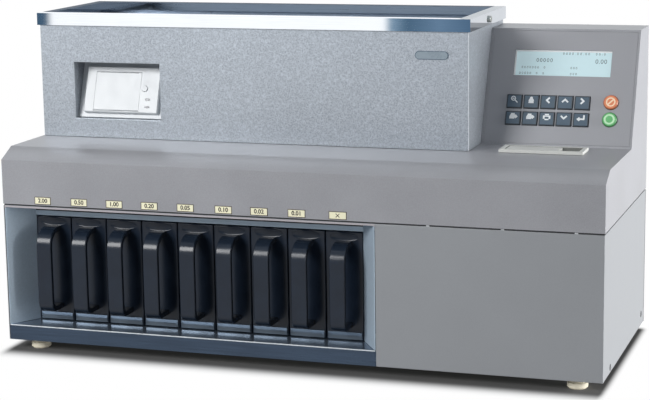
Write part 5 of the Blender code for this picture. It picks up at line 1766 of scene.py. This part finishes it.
        mirrored = tree.nodes.new("ShaderNodeMixShader")
        tree.links.new(ray.outputs["Is Glossy Ray"], mirrored.inputs["Fac"])
        tree.links.new(ambient.outputs["Background"], mirrored.inputs[1])
        tree.links.new(studio.outputs["Background"], mirrored.inputs[2])
        mixed = tree.nodes.new("ShaderNodeMixShader")
        tree.links.new(seen, mixed.inputs["Fac"])
        tree.links.new(mirrored.outputs["Shader"], mixed.inputs[1])
        tree.links.new(white.outputs["Background"], mixed.inputs[2])
        tree.links.new(mixed.outputs["Shader"], out.inputs["Surface"])

    @staticmethod
    def add_lamp(name, place, target, size, power):
        clear_selection()
        bpy.ops.object.light_add(type="AREA", location=place)
        lamp = named(name)
        lamp.data.shape = "RECTANGLE"
        lamp.data.size, lamp.data.size_y = size
        lamp.data.energy = power
        lamp.rotation_euler = (Vector(target) - Vector(place)).to_track_quat("-Z", "Y").to_euler()
        return lamp

    @staticmethod
    def add_camera(scene, stage):
        """The camera that the photograph was measured with."""
        yaw, pitch, roll = math.radians(18.452), math.radians(10.684), math.radians(-0.84)
        forward = Vector(
            (-math.sin(yaw) * math.cos(pitch), math.cos(yaw) * math.cos(pitch), -math.sin(pitch))
        )
        right = Vector((math.cos(yaw), math.sin(yaw), 0))
        up = right.cross(forward)
        turned_right = math.cos(roll) * right + math.sin(roll) * up
        turned_up = -math.sin(roll) * right + math.cos(roll) * up
        clear_selection()
        bpy.ops.object.camera_add()
        camera = named("photo_camera")
        camera.data.lens = stage.lens
        camera.data.sensor_width = 36.0
        camera.data.sensor_fit = "HORIZONTAL"
        camera.data.clip_end = 30.0
        place = Matrix((turned_right, turned_up, -forward)).transposed().to_4x4()
        place.translation = (0.78036, -2.35333, 0.66219)
        camera.matrix_world = place
        scene.camera = camera


OPERATORS = (
    COUNTER_OT_panels,
    COUNTER_OT_cover,
    COUNTER_OT_hopper,
    COUNTER_OT_badge,
    COUNTER_OT_bay,
    COUNTER_OT_coin_boxes,
    COUNTER_OT_value_plates,
    COUNTER_OT_console,
    COUNTER_OT_display,
    COUNTER_OT_keys,
    COUNTER_OT_round_buttons,
    COUNTER_OT_latch,
    COUNTER_OT_printer,
    COUNTER_OT_feet,
    COUNTER_OT_screws,
    COUNTER_OT_rear_fittings,
    COUNTER_OT_workings,
    COUNTER_OT_stage,
)


class COUNTER_PT_looks(bpy.types.Panel):
    """Lists the counter's pieces and their settings"""

    bl_label = "Coin counter"
    bl_idname = "COUNTER_PT_looks"
    bl_space_type = "VIEW_3D"
    bl_region_type = "UI"
    bl_category = "Coin counter"

    def draw(self, context):
        layout = self.layout
        for operator in OPERATORS:
            layout.operator(operator.bl_idname)
        for name in SETTINGS:
            box = layout.box()
            settings = getattr(context.scene, name)
            for key in settings.__annotations__:
                box.prop(settings, key)


SETTINGS = {
    "counter_paint": CounterPaint,
    "counter_edges": CounterEdges,
    "counter_plates": CounterPlates,
    "counter_screen": CounterScreen,
    "counter_small_parts": CounterSmallParts,
    "counter_stage": CounterStage,
}


def register():
    for group in SETTINGS.values():
        bpy.utils.register_class(group)
    for name, group in SETTINGS.items():
        setattr(bpy.types.Scene, name, bpy.props.PointerProperty(type=group))
    for operator in OPERATORS:
        bpy.utils.register_class(operator)
    bpy.utils.register_class(COUNTER_PT_looks)


def unregister():
    bpy.utils.unregister_class(COUNTER_PT_looks)
    for operator in reversed(OPERATORS):
        bpy.utils.unregister_class(operator)
    for name in SETTINGS:
        delattr(bpy.types.Scene, name)
    for group in reversed(SETTINGS.values()):
        bpy.utils.unregister_class(group)


def main():
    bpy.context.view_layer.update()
    register()
    for operator in OPERATORS:
        area, name = operator.bl_idname.split(".")
        getattr(getattr(bpy.ops, area), name)()


if __name__ == "__main__":
    main()
